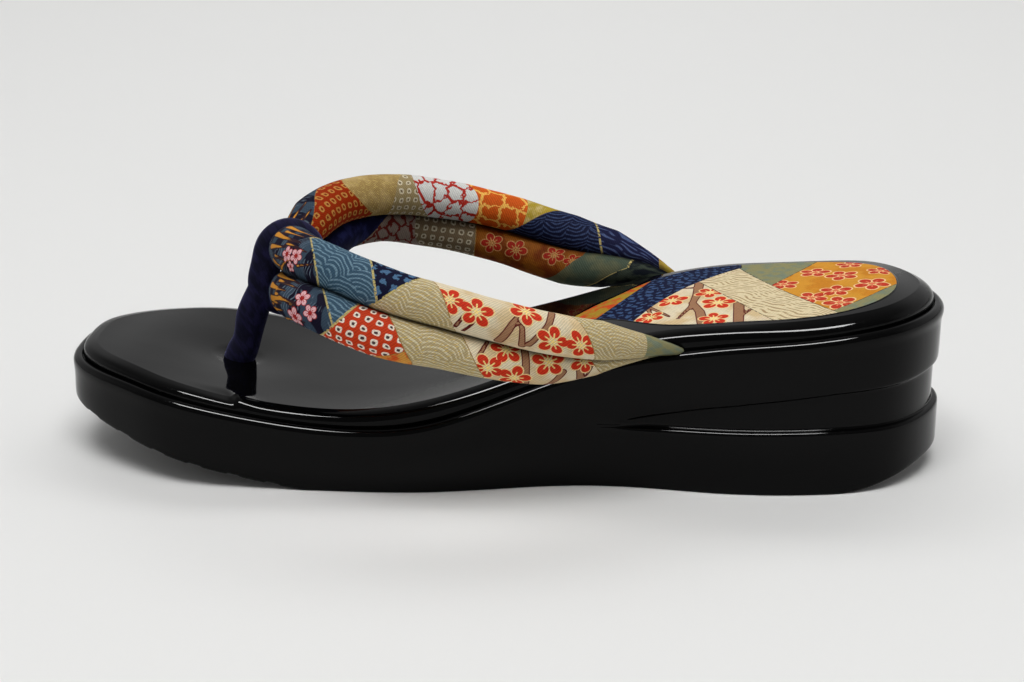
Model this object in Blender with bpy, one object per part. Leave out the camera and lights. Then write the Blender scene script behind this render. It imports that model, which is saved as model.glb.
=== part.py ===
"""A zori: a wedge sandal with a padded two-roll thong strap.

Frame: +X to the toe, +Y to the wearer's left, +Z up. The origin is on the floor, at the middle of the
sandal's length and width. Sizes and tables are in millimetres and are turned into metres as meshes are made.
"""
import math

import bmesh
import bpy
import numpy as np

MM = 0.001
GAP = 0.3                    # clearance between pieces that touch


def table(names, rows):
    """Rows of sizes whose columns are read by name."""
    return np.array(rows, dtype=[(name, float) for name in names])


# The sole's outline and rim: one row for each section, from toe to heel.
SOLE_ROWS = table(("x", "half_width", "rim_top"), [
    (120.0, 0.0, 26.4),
    (118.0, 13.5, 26.4),
    (110.0, 24.0, 26.2),
    (100.0, 31.4, 25.6),
    (90.0, 37.1, 24.4),
    (80.0, 40.0, 22.8),
    (65.0, 40.8, 20.1),
    (50.0, 40.8, 18.0),
    (35.0, 40.9, 17.5),
    (20.0, 40.2, 19.1),
    (0.0, 36.4, 24.2),
    (-20.0, 32.3, 31.1),
    (-40.0, 32.2, 37.1),
    (-60.0, 34.5, 40.6),
    (-80.0, 34.1, 42.4),
    (-95.0, 31.3, 44.0),
    (-105.0, 27.0, 45.0),
    (-115.0, 16.1, 45.0),
    (-120.0, 0.0, 44.2),
])
OUTLINE_STEPS = 50           # points along each side of the outline

# The underside is flat from the ball of the foot to the heel, and rises at both ends.
TOE_SPRING = 15.2
TOE_SPRING_START = 50.0
TOE_SPRING_POWER = 1.1
HEEL_LIFT = 5.4
HEEL_LIFT_START = -91.0
TOE_X = 120.0
HEEL_X = -120.0

# The heel's two steps: a lower tier, a set-back wedge-shaped band and an upper tier.
TIER_ROWS = table(("x", "lower_tier_top", "upper_tier_foot"), [
    (-32.0, 16.8, 18.4),
    (-42.0, 17.0, 20.6),
    (-55.0, 17.2, 23.4),
    (-70.0, 17.4, 25.6),
    (-90.0, 17.7, 28.0),
    (-120.0, 17.8, 29.5),
])
BAND_SETBACK = 1.7
BAND_START = -31.0
BAND_FULL = -42.0

# The wall's other insets from the outline.
RIM_ROUND = 1.3
LEDGE_INSET = 2.7
RECESS_DEPTH = 2.0
WALL_CREASE = 0.6            # the wall stands in a little below the rim
CORNER_SIDE = 1.5            # inset of the bottom edge along the sides
CORNER_END = 3.6             # and round the toe and the heel

# Cross grooves under the toe.
GROOVE_FIRST = 58.0
GROOVE_PITCH = 10.5
GROOVE_COUNT = 6
GROOVE_WIDTH = 3.6
GROOVE_DEPTH = 1.1

# The footbed's rolled edge: insets from the sole's outline, and heights over the rim's top, which are a fixed
# part and a share of the edge's full height there.
BED_EDGE = table(("inset", "fixed", "share"), [
    (4.2, GAP - RECESS_DEPTH, 0.0),
    (3.3, GAP + 0.5 - RECESS_DEPTH, 0.0),
    (3.0, 0.3, 0.22),
    (3.15, 0.3, 0.47),
    (3.6, 0.3, 0.67),
    (4.3, 0.2, 0.82),
    (5.3, 0.1, 0.91),
    (7.0, 0.0, 1.0),
])

# Along the footbed: the edge's full height over the rim's top, and how much higher the middle is.
BED_ROWS = table(("x", "edge", "crown"), [
    (120.0, 3.6, 0.0),
    (105.0, 3.2, 0.2),
    (60.0, 3.0, 0.6),
    (40.0, 3.4, 0.9),
    (20.0, 4.1, 1.1),
    (0.0, 4.4, 1.2),
    (-30.0, 4.3, 1.2),
    (-60.0, 4.0, 1.2),
    (-90.0, 3.9, 1.2),
    (-120.0, 4.4, 1.2),
])
POST_HOLLOW_DEPTH = 1.3      # the footbed is drawn down round the toe post
POST_HOLLOW_REACH = 15.0
BED_ROWS_ACROSS = 8

# The heel inlay: one row for each section.
PATCH_ROWS = table(("x", "half_width"), [
    (-18.0, 0.0),
    (-21.0, 3.0),
    (-25.0, 6.2),
    (-30.0, 9.9),
    (-35.0, 14.6),
    (-40.0, 19.2),
    (-46.0, 23.0),
    (-54.0, 25.4),
    (-66.0, 26.1),
    (-77.0, 26.0),
    (-86.0, 24.6),
    (-94.0, 21.8),
    (-100.0, 17.8),
    (-104.5, 12.0),
    (-107.2, 0.0),
])
PATCH_THICKNESS = 0.8
PATCH_PROUD = 0.1
PATCH_STEPS = 30

# The straps, from the toe post to a rear end: the middle of the pair of rolls, the lean of the pair
# outwards from upright, the distance between the rolls' middles and each roll's radius.
STRAP_ROWS = table(("x", "y", "z", "lean_degrees", "roll_spacing", "roll_radius"), [
    (58.4, 0.0, 49.3, 0.0, 8.4, 3.1),
    (58.3, 3.9, 49.6, 0.0, 8.7, 3.5),
    (57.2, 8.3, 51.2, 0.0, 10.7, 5.2),
    (55.1, 16.6, 53.6, -3.0, 11.4, 6.4),
    (52.1, 25.7, 55.2, -10.0, 10.9, 6.3),
    (47.2, 34.4, 56.0, -23.0, 10.4, 6.1),
    (37.8, 43.0, 55.3, -29.0, 10.8, 5.9),
    (26.0, 48.5, 52.8, -23.0, 11.0, 5.8),
    (12.0, 49.9, 49.9, -9.0, 10.5, 5.4),
    (-2.0, 48.9, 46.4, 5.0, 10.2, 5.3),
    (-16.0, 45.0, 43.1, 24.0, 10.0, 5.4),
    (-28.0, 40.4, 41.9, 42.0, 8.0, 5.0),
    (-38.0, 36.3, 41.3, 48.0, 5.0, 3.2),
    (-44.5, 32.9, 41.0, 44.0, 2.2, 1.7),
    (-50.0, 28.6, 40.0, 40.0, 0.8, 1.0),
])
STRAP_STEPS = 39             # stations along each side of the strap
ROLL_STEPS = 9               # points round each roll

# The slot in the footbed's edge that takes a strap's end.
SLOT_LENGTH = 10.0
SLOT_WIDTH = 4.6
SLOT_HEIGHT = 3.8

# The toe post: a stem from the footbed's hole, and a loop round the pinched middle of the straps.
POST_ROWS = table(("x", "z", "half_length", "half_width"), [
    (75.3, 20.4, 4.4, 4.0),
    (74.8, 22.9, 4.5, 4.1),
    (74.3, 24.4, 4.8, 4.4),
    (72.9, 27.2, 4.4, 3.9),
    (70.5, 34.6, 4.3, 3.7),
    (67.9, 41.7, 3.9, 3.6),
    (66.1, 47.2, 3.2, 3.3),
])
LOOP_ROWS = table(("x", "z", "half_thickness", "half_width"), [
    (67.1, 42.9, 3.6, 3.4),
    (66.5, 49.7, 3.6, 3.4),
    (64.5, 56.7, 3.4, 3.4),
    (58.9, 60.3, 3.2, 3.4),
    (53.1, 57.5, 3.0, 3.3),
    (51.7, 49.7, 3.0, 3.2),
    (53.1, 41.7, 2.9, 3.2),
    (59.5, 38.4, 2.9, 3.3),
])
POST_SIDES = 14
POST_STEPS = 14
LOOP_STEPS = 32
POST_HOLE_X = 74.6
POST_HOLE_RADIUS = 5.5


def columns(rows, *names):
    """The named columns of a table, side by side."""
    return np.column_stack([rows[name] for name in names])


def spline(knots, values, at):
    """A natural cubic spline through the knots, read at the given places."""
    knots = np.asarray(knots, float)
    values = np.asarray(values, float).reshape(len(knots), -1)
    count = len(knots)
    step = np.diff(knots)
    matrix = np.eye(count)
    pull = np.zeros_like(values)
    for i in range(1, count - 1):
        matrix[i, i - 1:i + 2] = step[i - 1], 2 * (step[i - 1] + step[i]), step[i]
        pull[i] = 6 * ((values[i + 1] - values[i]) / step[i] - (values[i] - values[i - 1]) / step[i - 1])
    bend = np.linalg.solve(matrix, pull)
    at = np.asarray(at, float)
    cell = np.clip(np.searchsorted(knots, at) - 1, 0, count - 2)
    width = step[cell][:, None]
    right = ((at - knots[cell])[:, None]) / width
    left = 1 - right
    bulge = ((left ** 3 - left) * bend[cell] + (right ** 3 - right) * bend[cell + 1]) * width ** 2 / 6
    return left * values[cell] + right * values[cell + 1] + bulge


def lengths(points):
    """Distances along a run of points."""
    return np.concatenate([[0.0], np.cumsum(np.linalg.norm(np.diff(points, axis=0), axis=1))])


def mirrored(rows, flip):
    """The rows with their mirror images before them, which share the first row."""
    return np.vstack([rows[:0:-1] * flip, rows])


def smoothstep(value, start, end):
    t = np.clip((value - start) / (end - start), 0.0, 1.0)
    return t * t * (3 - 2 * t)


def side_outline(rows, steps):
    """Evenly spaced points (x, y) along one side of an outline whose rows end on the centre line."""
    side = columns(rows, "x", "half_width")
    flip = np.array([1.0, -1.0])
    closed = np.vstack([side[3:0:-1] * flip, side, side[-2:-5:-1] * flip])
    run = lengths(closed)
    return spline(run, closed, np.linspace(run[3], run[len(side) + 2], steps + 1))


def closed_outline(side):
    """The whole outline, from the front point round the left side to the back point and home."""
    return np.vstack([side, side[-2:0:-1] * np.array([1.0, -1.0])])


def outward(outline):
    """Unit normals of a closed outline that starts at its front point."""
    along = np.roll(outline, -1, axis=0) - np.roll(outline, 1, axis=0)
    across = np.stack([along[:, 1], -along[:, 0]], axis=1)
    return across / np.linalg.norm(across, axis=1)[:, None]


def rim_top(x):
    rows = SOLE_ROWS[::-1]
    return spline(rows["x"], rows["rim_top"], np.clip(x, HEEL_X, TOE_X))[:, 0]


def underside(x):
    toe = np.clip((np.asarray(x, float) - TOE_SPRING_START) / (TOE_X - TOE_SPRING_START), 0.0, 1.0)
    return TOE_SPRING * toe ** TOE_SPRING_POWER + HEEL_LIFT * smoothstep(x, HEEL_LIFT_START, HEEL_X)


def tier_height(column, x):
    rows = TIER_ROWS[::-1]
    return np.interp(x, rows["x"], rows[column])


OUTLINE = closed_outline(side_outline(SOLE_ROWS, OUTLINE_STEPS))
NORMALS = outward(OUTLINE)


def inset_ring(inset, height_of):
    """A ring set in from the sole's outline, at the height that height_of gives for its x."""
    plan = OUTLINE - NORMALS * np.reshape(inset, (-1, 1))
    return np.column_stack([plan, height_of(plan[:, 0])])


class Shell:
    """Collects vertices and faces of one closed surface."""

    def __init__(self):
        self.vertices = []
        self.faces = []

    def add(self, points):
        first = len(self.vertices)
        self.vertices.extend(tuple(p) for p in np.asarray(points) * MM)
        return list(range(first, first + len(points)))

    def skin(self, ring, following):
        """Quads between two closed rings of equal count."""
        count = len(ring)
        for i in range(count):
            j = (i + 1) % count
            self.faces.append((ring[i], ring[j], following[j], following[i]))

    def fan(self, ring, centre):
        for i, a in enumerate(ring):
            self.faces.append((a, ring[(i + 1) % len(ring)], centre))

    def strips(self, ring, across, height_of):
        """A cap of strips between the two sides of an outline ring, with points across at height_of(x, y)."""
        points = np.array([self.vertices[i] for i in ring]) / MM
        count = len(ring)
        rows = [[ring[0]] * (across + 1)]
        for i in range(1, count // 2):
            left, right = points[i], points[-i]
            inner = []
            for k in range(1, across):
                x, y, _ = left + (right - left) * k / across
                inner.append((x, y, height_of(x, y)))
            row = self.add(inner) if inner else []
            rows.append([ring[i]] + row + [ring[-i]])
        rows.append([ring[count // 2]] * (across + 1))
        for a, b in zip(rows, rows[1:]):
            for k in range(across):
                quad = [a[k], a[k + 1], b[k + 1], b[k]]
                face = [v for n, v in enumerate(quad) if v not in quad[:n]]
                self.faces.append(tuple(face))

    def build(self, name, material):
        mesh = bpy.data.meshes.new(name)
        mesh.from_pydata(self.vertices, [], self.faces)
        work = bmesh.new()
        work.from_mesh(mesh)
        bmesh.ops.recalc_face_normals(work, faces=work.faces)
        work.to_mesh(mesh)
        work.free()
        mesh.validate()
        mesh.materials.append(material)
        mesh.shade_smooth()
        mesh.set_sharp_from_angle(angle=math.radians(35))
        piece = bpy.data.objects.new(name, mesh)
        bpy.context.scene.collection.objects.link(piece)
        return piece


def material(name, colour, roughness):
    made = bpy.data.materials.new(name)
    made.use_nodes = True
    shader = made.node_tree.nodes["Principled BSDF"]
    shader.inputs["Base Color"].default_value = (*colour, 1.0)
    shader.inputs["Roughness"].default_value = roughness
    shader.inputs["Metallic"].default_value = 0.0
    return made


def cut(piece, cutter):
    """Takes the cutter's shape out of a piece."""
    cutter.hide_render = True
    cutter.display_type = "WIRE"
    taken = piece.modifiers.new("cut " + cutter.name, "BOOLEAN")
    taken.operation = "DIFFERENCE"
    taken.solver = "EXACT"
    taken.object = cutter


def box_cutter(name, places):
    """One cutter of boxes: each place is a centre, a size, a turn about Z and a tilt about Y."""
    work = bmesh.new()
    for centre, size, turn, tilt in places:
        made = bmesh.ops.create_cube(work, size=1.0)["verts"]
        for vertex in made:
            x, y, z = (vertex.co[i] * size[i] for i in range(3))
            x, z = x * math.cos(tilt) + z * math.sin(tilt), z * math.cos(tilt) - x * math.sin(tilt)
            x, y = x * math.cos(turn) - y * math.sin(turn), x * math.sin(turn) + y * math.cos(turn)
            vertex.co = [(centre[i] + value) * MM for i, value in enumerate((x, y, z))]
    mesh = bpy.data.meshes.new(name)
    work.to_mesh(mesh)
    work.free()
    cutter = bpy.data.objects.new(name, mesh)
    bpy.context.scene.collection.objects.link(cutter)
    return cutter


# The sole unit

def band_share(x):
    """How far the heel's middle band is set in: nothing in front, all of it behind."""
    return smoothstep(x, BAND_START, BAND_FULL)


def wall_line(share_in_front, tier_column, lift=0.0):
    """Height of a line along the wall: a share of the wall in front, a tier's edge behind."""
    def height(x):
        low = underside(x)
        front = low + share_in_front * (rim_top(x) - low)
        behind = tier_height(tier_column, x) + lift
        share = smoothstep(x, -18.0, -30.0)
        return front + (behind - front) * share
    return height


def end_share(x):
    """1 at the toe's and the heel's ends, 0 along the sides."""
    return np.maximum(smoothstep(x, 92.0, 119.0), smoothstep(x, -92.0, -119.0))


def sole_rings():
    x = OUTLINE[:, 0]
    band = band_share(x)
    corner = CORNER_SIDE + (CORNER_END - CORNER_SIDE) * end_share(x)

    def under(lift):
        return lambda at: underside(at) + lift

    def rim(drop):
        return lambda at: rim_top(at) - drop

    lower, upper = "lower_tier_top", "upper_tier_foot"
    return [
        inset_ring(corner, under(0.0)),
        inset_ring(corner * 0.45, under(1.2)),
        inset_ring(corner * 0.2, under(3.6)),
        inset_ring(0.15 + 0.0 * x, wall_line(0.42, lower, -1.0)),
        inset_ring(0.15 + 0.25 * band, wall_line(0.47, lower)),
        inset_ring(0.2 + BAND_SETBACK * band, wall_line(0.52, lower, 0.5)),
        inset_ring(0.3 + BAND_SETBACK * band, wall_line(0.6, upper, -0.3)),
        inset_ring(0.3 + 0.5 * band, wall_line(0.65, upper, 0.3)),
        inset_ring(WALL_CREASE + 0.0 * x, rim(3.6)),
        inset_ring(WALL_CREASE + 0.0 * x, rim(3.0)),
        inset_ring(0.0 * x, rim(2.3)),
        inset_ring(0.0 * x, rim(1.3)),
        inset_ring(0.35 + 0.0 * x, rim(0.4)),
        inset_ring(RIM_ROUND + 0.0 * x, rim(0.0)),
        inset_ring(2.2 + 0.0 * x, rim(0.3)),
        inset_ring(LEDGE_INSET + 0.0 * x, rim(0.9)),
        inset_ring(LEDGE_INSET + 0.2 + 0.0 * x, rim(RECESS_DEPTH)),
    ]


def toe_grooves():
    places = []
    for number in range(GROOVE_COUNT):
        x = GROOVE_FIRST + GROOVE_PITCH * number
        ahead, behind = underside(np.array([x + 1.0, x - 1.0]))
        height = (ahead + behind) / 2
        slope = math.atan2(ahead - behind, 2.0)
        places.append(((x, 0.0, height), (GROOVE_WIDTH, 100.0, 2 * GROOVE_DEPTH), 0.0, -slope))
    return box_cutter("toe_grooves", places)


def make_sole(look):
    shell = Shell()
    rings = [shell.add(ring) for ring in sole_rings()]
    for ring, following in zip(rings, rings[1:]):
        shell.skin(ring, following)
    shell.strips(rings[0], 1, None)
    shell.strips(rings[-1], 1, None)
    sole = shell.build("sole_unit", look)
    cut(sole, toe_grooves())
    return sole


# The footbed

BED_INNER = OUTLINE - NORMALS * BED_EDGE["inset"][-1]
BED_SIDE = BED_INNER[:OUTLINE_STEPS + 1][::-1]


def along_bed(column, x):
    rows = BED_ROWS[::-1]
    return spline(rows["x"], rows[column], np.clip(x, HEEL_X, TOE_X))[:, 0]


def bed_height(x, y):
    """The footbed's top inside its rolled edge."""
    x = np.atleast_1d(np.asarray(x, float))
    half = np.maximum(np.interp(x, BED_SIDE[:, 0], BED_SIDE[:, 1]), 0.01)
    crown = along_bed("crown", x) * np.clip(1 - (y / half) ** 2, 0.0, 1.0)
    hollow = POST_HOLLOW_DEPTH * np.exp(-((x - POST_HOLE_X) ** 2 + y ** 2) / POST_HOLLOW_REACH ** 2)
    return rim_top(x) + along_bed("edge", x) + crown - hollow


def bed_rings():
    rings = []
    for inset, fixed, share in BED_EDGE:
        rings.append(inset_ring(inset + 0.0 * OUTLINE[:, 0],
                                lambda x, up=fixed, part=share: rim_top(x) + up + part * along_bed("edge", x)))
    return rings


def strap_slots():
    """Cutters for the two slots in the footbed's edge, in line with the straps' ends."""
    before, end = columns(STRAP_ROWS, "x", "y", "z")[-2:]
    middle = end + (before - end) * 0.25
    turn = math.atan2(before[1] - end[1], before[0] - end[0])
    size = (SLOT_LENGTH, SLOT_WIDTH, SLOT_HEIGHT)
    left = (tuple(middle), size, turn, 0.0)
    right = ((middle[0], -middle[1], middle[2]), size, -turn, 0.0)
    return box_cutter("strap_slots", [left, right])


def post_hole():
    bpy.ops.mesh.primitive_cylinder_add(vertices=24, radius=POST_HOLE_RADIUS * MM, depth=30 * MM,
                                        location=(POST_HOLE_X * MM, 0.0, POST_ROWS["z"][1] * MM))
    hole = bpy.context.object
    hole.name = "post_hole"
    return hole


def patch_shell(margin, bottom, top, across):
    """A shell over the inlay's outline, grown by margin, between two offsets from the footbed's top."""
    side = side_outline(PATCH_ROWS, PATCH_STEPS)
    outline = closed_outline(side)
    outline = outline + outward(outline) * margin
    shell = Shell()
    rings = []
    for offset in (bottom, top):
        heights = bed_height(outline[:, 0], outline[:, 1]) + offset
        rings.append(shell.add(np.column_stack([outline, heights])))
    shell.skin(*rings)
    for ring, offset in zip(rings, (bottom, top)):
        shell.strips(ring, across, lambda x, y, up=offset: bed_height(x, y)[0] + up)
    return shell


def make_footbed(look):
    shell = Shell()
    rings = [shell.add(ring) for ring in bed_rings()]
    for ring, following in zip(rings, rings[1:]):
        shell.skin(ring, following)
    shell.strips(rings[0], 1, None)
    shell.strips(rings[-1], BED_ROWS_ACROSS, lambda x, y: bed_height(x, y)[0])
    bed = shell.build("footbed", look)
    recess = PATCH_THICKNESS - PATCH_PROUD + GAP
    cut(bed, post_hole())
    cut(bed, strap_slots())
    cut(bed, patch_shell(GAP, -recess, 3.0, BED_ROWS_ACROSS).build("patch_recess", look))
    return bed


def make_patch(look):
    shell = patch_shell(0.0, PATCH_PROUD - PATCH_THICKNESS, PATCH_PROUD, BED_ROWS_ACROSS)
    return shell.build("heel_patch", look)


# The straps

def strap_stations():
    """Middles, frames, spacings and radii at stations along the whole horseshoe, right end to left end."""
    route = mirrored(columns(STRAP_ROWS, "x", "y", "z"), np.array([1, -1, 1]))
    rest = mirrored(columns(STRAP_ROWS, "lean_degrees", "roll_spacing", "roll_radius"), 1)
    run = lengths(route)
    at = np.linspace(0.0, run[-1], 2 * STRAP_STEPS + 1)
    middle = spline(run, route, at)
    lean, spacing, radius = (np.interp(at, run, column) for column in rest.T)
    along = np.gradient(middle, at, axis=0)
    along /= np.linalg.norm(along, axis=1)[:, None]
    outwards = np.cross(along, [0.0, 0.0, 1.0])
    outwards /= np.linalg.norm(outwards, axis=1)[:, None]
    upwards = np.cross(outwards, along)
    lean = np.radians(lean)[:, None]
    pair = np.cos(lean) * upwards + np.sin(lean) * outwards
    face = np.cos(lean) * outwards - np.sin(lean) * upwards
    return middle, pair, face, spacing, radius


def strap_section(spacing, radius):
    """The outline of two rolls that meet in a crease, as (face, pair) offsets."""
    crease = math.acos(min(0.999, spacing / 2 / radius))
    points = []
    for sign in (1, -1):
        turn = np.linspace(-(math.pi - crease), math.pi - crease, ROLL_STEPS + 1)[:-1]
        for angle in turn:
            points.append((sign * radius * math.sin(angle), sign * (spacing / 2 + radius * math.cos(angle))))
    return points


def make_straps(look):
    middle, pair, face, spacing, radius = strap_stations()
    shell = Shell()
    rings = []
    for centre, up, out, gap, size in zip(middle, pair, face, spacing, radius):
        section = strap_section(gap, size)
        rings.append(shell.add([centre + out * a + up * b for a, b in section]))
    for ring, following in zip(rings, rings[1:]):
        shell.skin(ring, following)
    for ring, centre in ((rings[0], middle[0]), (rings[-1], middle[-1])):
        shell.fan(ring, shell.add([centre])[0])
    return shell.build("straps", look)


# The toe post

def oval_rings(shell, path, along, halves):
    """Rings of oval section along a path in the middle plane."""
    side = np.stack([along[:, 1], -along[:, 0]], axis=1)
    side /= np.linalg.norm(side, axis=1)[:, None]
    turn = np.linspace(0.0, 2 * math.pi, POST_SIDES, endpoint=False)
    rings = []
    for (x, z), (side_x, side_z), (half, half_width) in zip(path, side, halves):
        rings.append(shell.add(np.column_stack([
            x + side_x * half * np.cos(turn), half_width * np.sin(turn), z + side_z * half * np.cos(turn)])))
    return rings


def make_stem(look):
    knots = columns(POST_ROWS, "x", "z")
    run = lengths(knots)
    at = np.linspace(0.0, run[-1], POST_STEPS)
    path = spline(run, knots, at)
    halves = spline(run, columns(POST_ROWS, "half_length", "half_width"), at)
    shell = Shell()
    rings = oval_rings(shell, path, np.gradient(path, axis=0), halves)
    for ring, following in zip(rings, rings[1:]):
        shell.skin(ring, following)
    for ring, (x, z) in ((rings[0], path[0]), (rings[-1], path[-1])):
        shell.fan(ring, shell.add([(x, 0.0, z)])[0])
    return shell.build("toe_post", look)


def make_loop(look):
    count = len(LOOP_ROWS)
    wrapped = np.concatenate([LOOP_ROWS[-3:], LOOP_ROWS, LOOP_ROWS[:4]])
    knots = columns(wrapped, "x", "z")
    run = lengths(knots)
    at = np.linspace(run[3], run[3 + count], LOOP_STEPS + 1)[:-1]
    path = spline(run, knots, at)
    halves = spline(run, columns(wrapped, "half_thickness", "half_width"), at)
    along = np.roll(path, -1, axis=0) - np.roll(path, 1, axis=0)
    shell = Shell()
    rings = oval_rings(shell, path, along, halves)
    for ring, following in zip(rings, rings[1:] + rings[:1]):
        shell.skin(ring, following)
    return shell.build("post_loop", look)


def make_post(look):
    stem, loop = make_stem(look), make_loop(look)
    loop.hide_render = True
    loop.display_type = "WIRE"
    joined = stem.modifiers.new("join loop", "BOOLEAN")
    joined.operation = "UNION"
    joined.solver = "EXACT"
    joined.object = loop
    return stem


def main():
    for old in list(bpy.data.objects):
        bpy.data.objects.remove(old, do_unlink=True)
    enamel = material("black enamel", (0.006, 0.006, 0.007), 0.12)
    print_cloth = material("printed cloth", (0.45, 0.28, 0.14), 0.75)
    velvet = material("navy velvet", (0.010, 0.010, 0.028), 0.9)
    sole = make_sole(enamel)
    for piece in (make_footbed(enamel), make_patch(print_cloth), make_straps(print_cloth), make_post(velvet)):
        piece.parent = sole


main()
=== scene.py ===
import math

import bpy
import numpy as np
from mathutils import Matrix, Vector


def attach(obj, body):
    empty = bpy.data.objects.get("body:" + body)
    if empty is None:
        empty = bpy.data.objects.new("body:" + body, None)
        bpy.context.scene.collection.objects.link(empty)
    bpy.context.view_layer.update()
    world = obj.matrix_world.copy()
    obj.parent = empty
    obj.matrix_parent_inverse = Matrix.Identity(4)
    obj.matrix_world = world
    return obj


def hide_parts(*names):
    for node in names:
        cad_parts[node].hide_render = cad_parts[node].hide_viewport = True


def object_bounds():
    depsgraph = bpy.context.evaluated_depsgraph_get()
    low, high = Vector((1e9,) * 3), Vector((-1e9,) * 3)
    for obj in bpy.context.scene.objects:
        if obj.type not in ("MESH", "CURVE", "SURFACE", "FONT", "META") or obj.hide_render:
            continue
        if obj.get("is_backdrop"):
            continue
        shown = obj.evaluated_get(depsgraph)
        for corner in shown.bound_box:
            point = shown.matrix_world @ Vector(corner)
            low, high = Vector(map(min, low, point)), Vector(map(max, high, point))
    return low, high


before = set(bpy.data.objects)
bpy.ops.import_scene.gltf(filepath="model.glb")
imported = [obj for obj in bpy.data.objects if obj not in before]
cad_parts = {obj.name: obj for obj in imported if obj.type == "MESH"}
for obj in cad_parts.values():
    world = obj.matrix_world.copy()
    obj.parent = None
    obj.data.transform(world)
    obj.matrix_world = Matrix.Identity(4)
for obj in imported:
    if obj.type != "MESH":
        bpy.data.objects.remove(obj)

MODEL_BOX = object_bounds()
MM = 0.001


def table(names, rows):
    """Rows of sizes whose columns are read by name."""
    return np.array([tuple(row) for row in rows], dtype=[(name, float) for name in names])


# The sole's outline and rim, from toe to heel.
SOLE_ROWS = table(("x", "half_width", "rim_top"), [
    (120, 0, 26.8), (118, 13.5, 26.7), (110, 24, 26.2), (100, 31.4, 25.6), (90, 37.1, 24.4),
    (80, 40, 22.8), (65, 40.8, 20.1), (50, 40.8, 18), (35, 40.9, 17.5), (20, 40.2, 19.1),
    (0, 36.4, 24.2), (-20, 32.3, 31.1), (-40, 32.2, 37.1), (-60, 34.5, 40.6), (-80, 34.1, 42.4),
    (-95, 31.3, 44), (-105, 27, 45), (-115, 16.1, 45.2), (-120, 0, 44.8),
])
TOE_X = 120.0
HEEL_X = -120.0
TOE_SPRING = 15.2
TOE_SPRING_START = 50.0
TOE_SPRING_POWER = 1.1
HEEL_LIFT = 5.4
HEEL_LIFT_START = -91.0

# The heel's two steps.
TIER_ROWS = table(("x", "lower_tier_top", "upper_tier_foot"), [
    (-32, 16.8, 18.4), (-42, 17, 20.6), (-55, 17.2, 23.4), (-70, 17.4, 25.6), (-90, 17.7, 28),
    (-120, 17.8, 29.5),
])
BAND_SETBACK = 1.7
BAND_START = -31.0
BAND_FULL = -42.0
WALL_INSET = 0.1
WALL_CREASE = 0.6
TOE_CREASE = 0.2
TOE_CREASE_BLEND = (60.0, 100.0)
WALL_FOOT = 2.6
WALL_TOP_DROP = 6.6
TIER_BLEND = (-18.0, -30.0)
CORNER_SIDE = 0.7
CORNER_END = 1.2
CORNER_BLEND = (92.0, 119.0)

# The wall's control rings from the underside to the recess. At the foot: an inset, as a share of the corner's
# and a fixed part, the height over the underside, and the share of the grooves' depth.
FOOT_RINGS = table(("corner_share", "inset", "lift", "groove_share"), [
    (1, 0.7, 0, 1), (1, 0, 0, 0.35), (0.5, 0, 0.05, 0.35), (0.15, 0, 0.35, 0.28), (0, 0.1, 1.1, 0),
    (0, 0.1, 2.2, 0),
])
# Up the wall, behind: whether the ring follows the upper tier's foot (1) or the lower tier's top (0), its
# height over that, its inset, and whether it is set back with the band.
TIER_RINGS = table(("upper", "lift", "inset", "on_band"), [
    (0, -3, 0.15, 0), (0, -1.1, 0.12, 0), (0, -0.3, 0.25, 0), (0, 0.1, 0.9, 0), (0, 0.1, 0.2, 1),
    (0, 0.9, 0.3, 1), (1, -1, 0.3, 1), (1, -0.3, 0.2, 1), (1, 0.1, 0.8, 0), (1, 0.9, 0.6, 0),
])
# Over the rim: an inset, as a share of the crease's and a fixed part, and the depth under the rim's top.
RIM_RINGS = table(("crease_share", "inset", "drop"), [
    (1, 0, 5.6), (0.83, 0, 4.2), (0.42, 0, 3.1), (0, 0.05, 2.2), (0, 0.1, 1.4), (0, 0.45, 0.65),
    (0, 1.1, 0.15), (0, 1.9, 0), (0, 2.6, 0.1), (0, 2.8, 0.5), (0, 2.9, 2),
])
RECESS_DEPTH = RIM_RINGS["drop"][-1]

# Where the rim sags a little under the straps.
RIM_SAGS = table(("x", "drop", "reach"), [(18, 0.7, 16), (-48, 0.5, 12)])

# Cross grooves under the toe; they show as shallow notches in the wall's bottom edge.
GROOVE_FIRST = 58.0
GROOVE_PITCH = 10.5
GROOVE_WIDTH = 3.6
GROOVE_DEPTH = 1.1
GROOVE_SOFTNESS = 0.5
GROOVE_START = (54.0, 56.0)

# The footbed's rolled edge: insets from the sole's outline, heights over the rim's top, which are a fixed
# part and a share of the edge's full height there, and the rounder edge's shares at the toe and the heel.
BED_EDGE = table(("inset", "fixed", "share", "end_share"), [
    (4.2, -1.7, 0, 0), (3.05, -1.6, 0, 0), (3, 0.1, 0.1, 0.08), (3.1, 0.3, 0.34, 0.26),
    (3.45, 0.3, 0.56, 0.42), (4.2, 0.3, 0.74, 0.6), (5.4, 0.1, 0.9, 0.82), (7, 0, 1, 1),
])

# Where the rounder edge takes over: behind, and as a bell at the toe, with its share.
ROUND_REAR = (-62.0, -88.0)
ROUND_TOE_X = 95.0
ROUND_TOE_REACH = 11.0
ROUND_TOE_SHARE = 0.6

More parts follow.
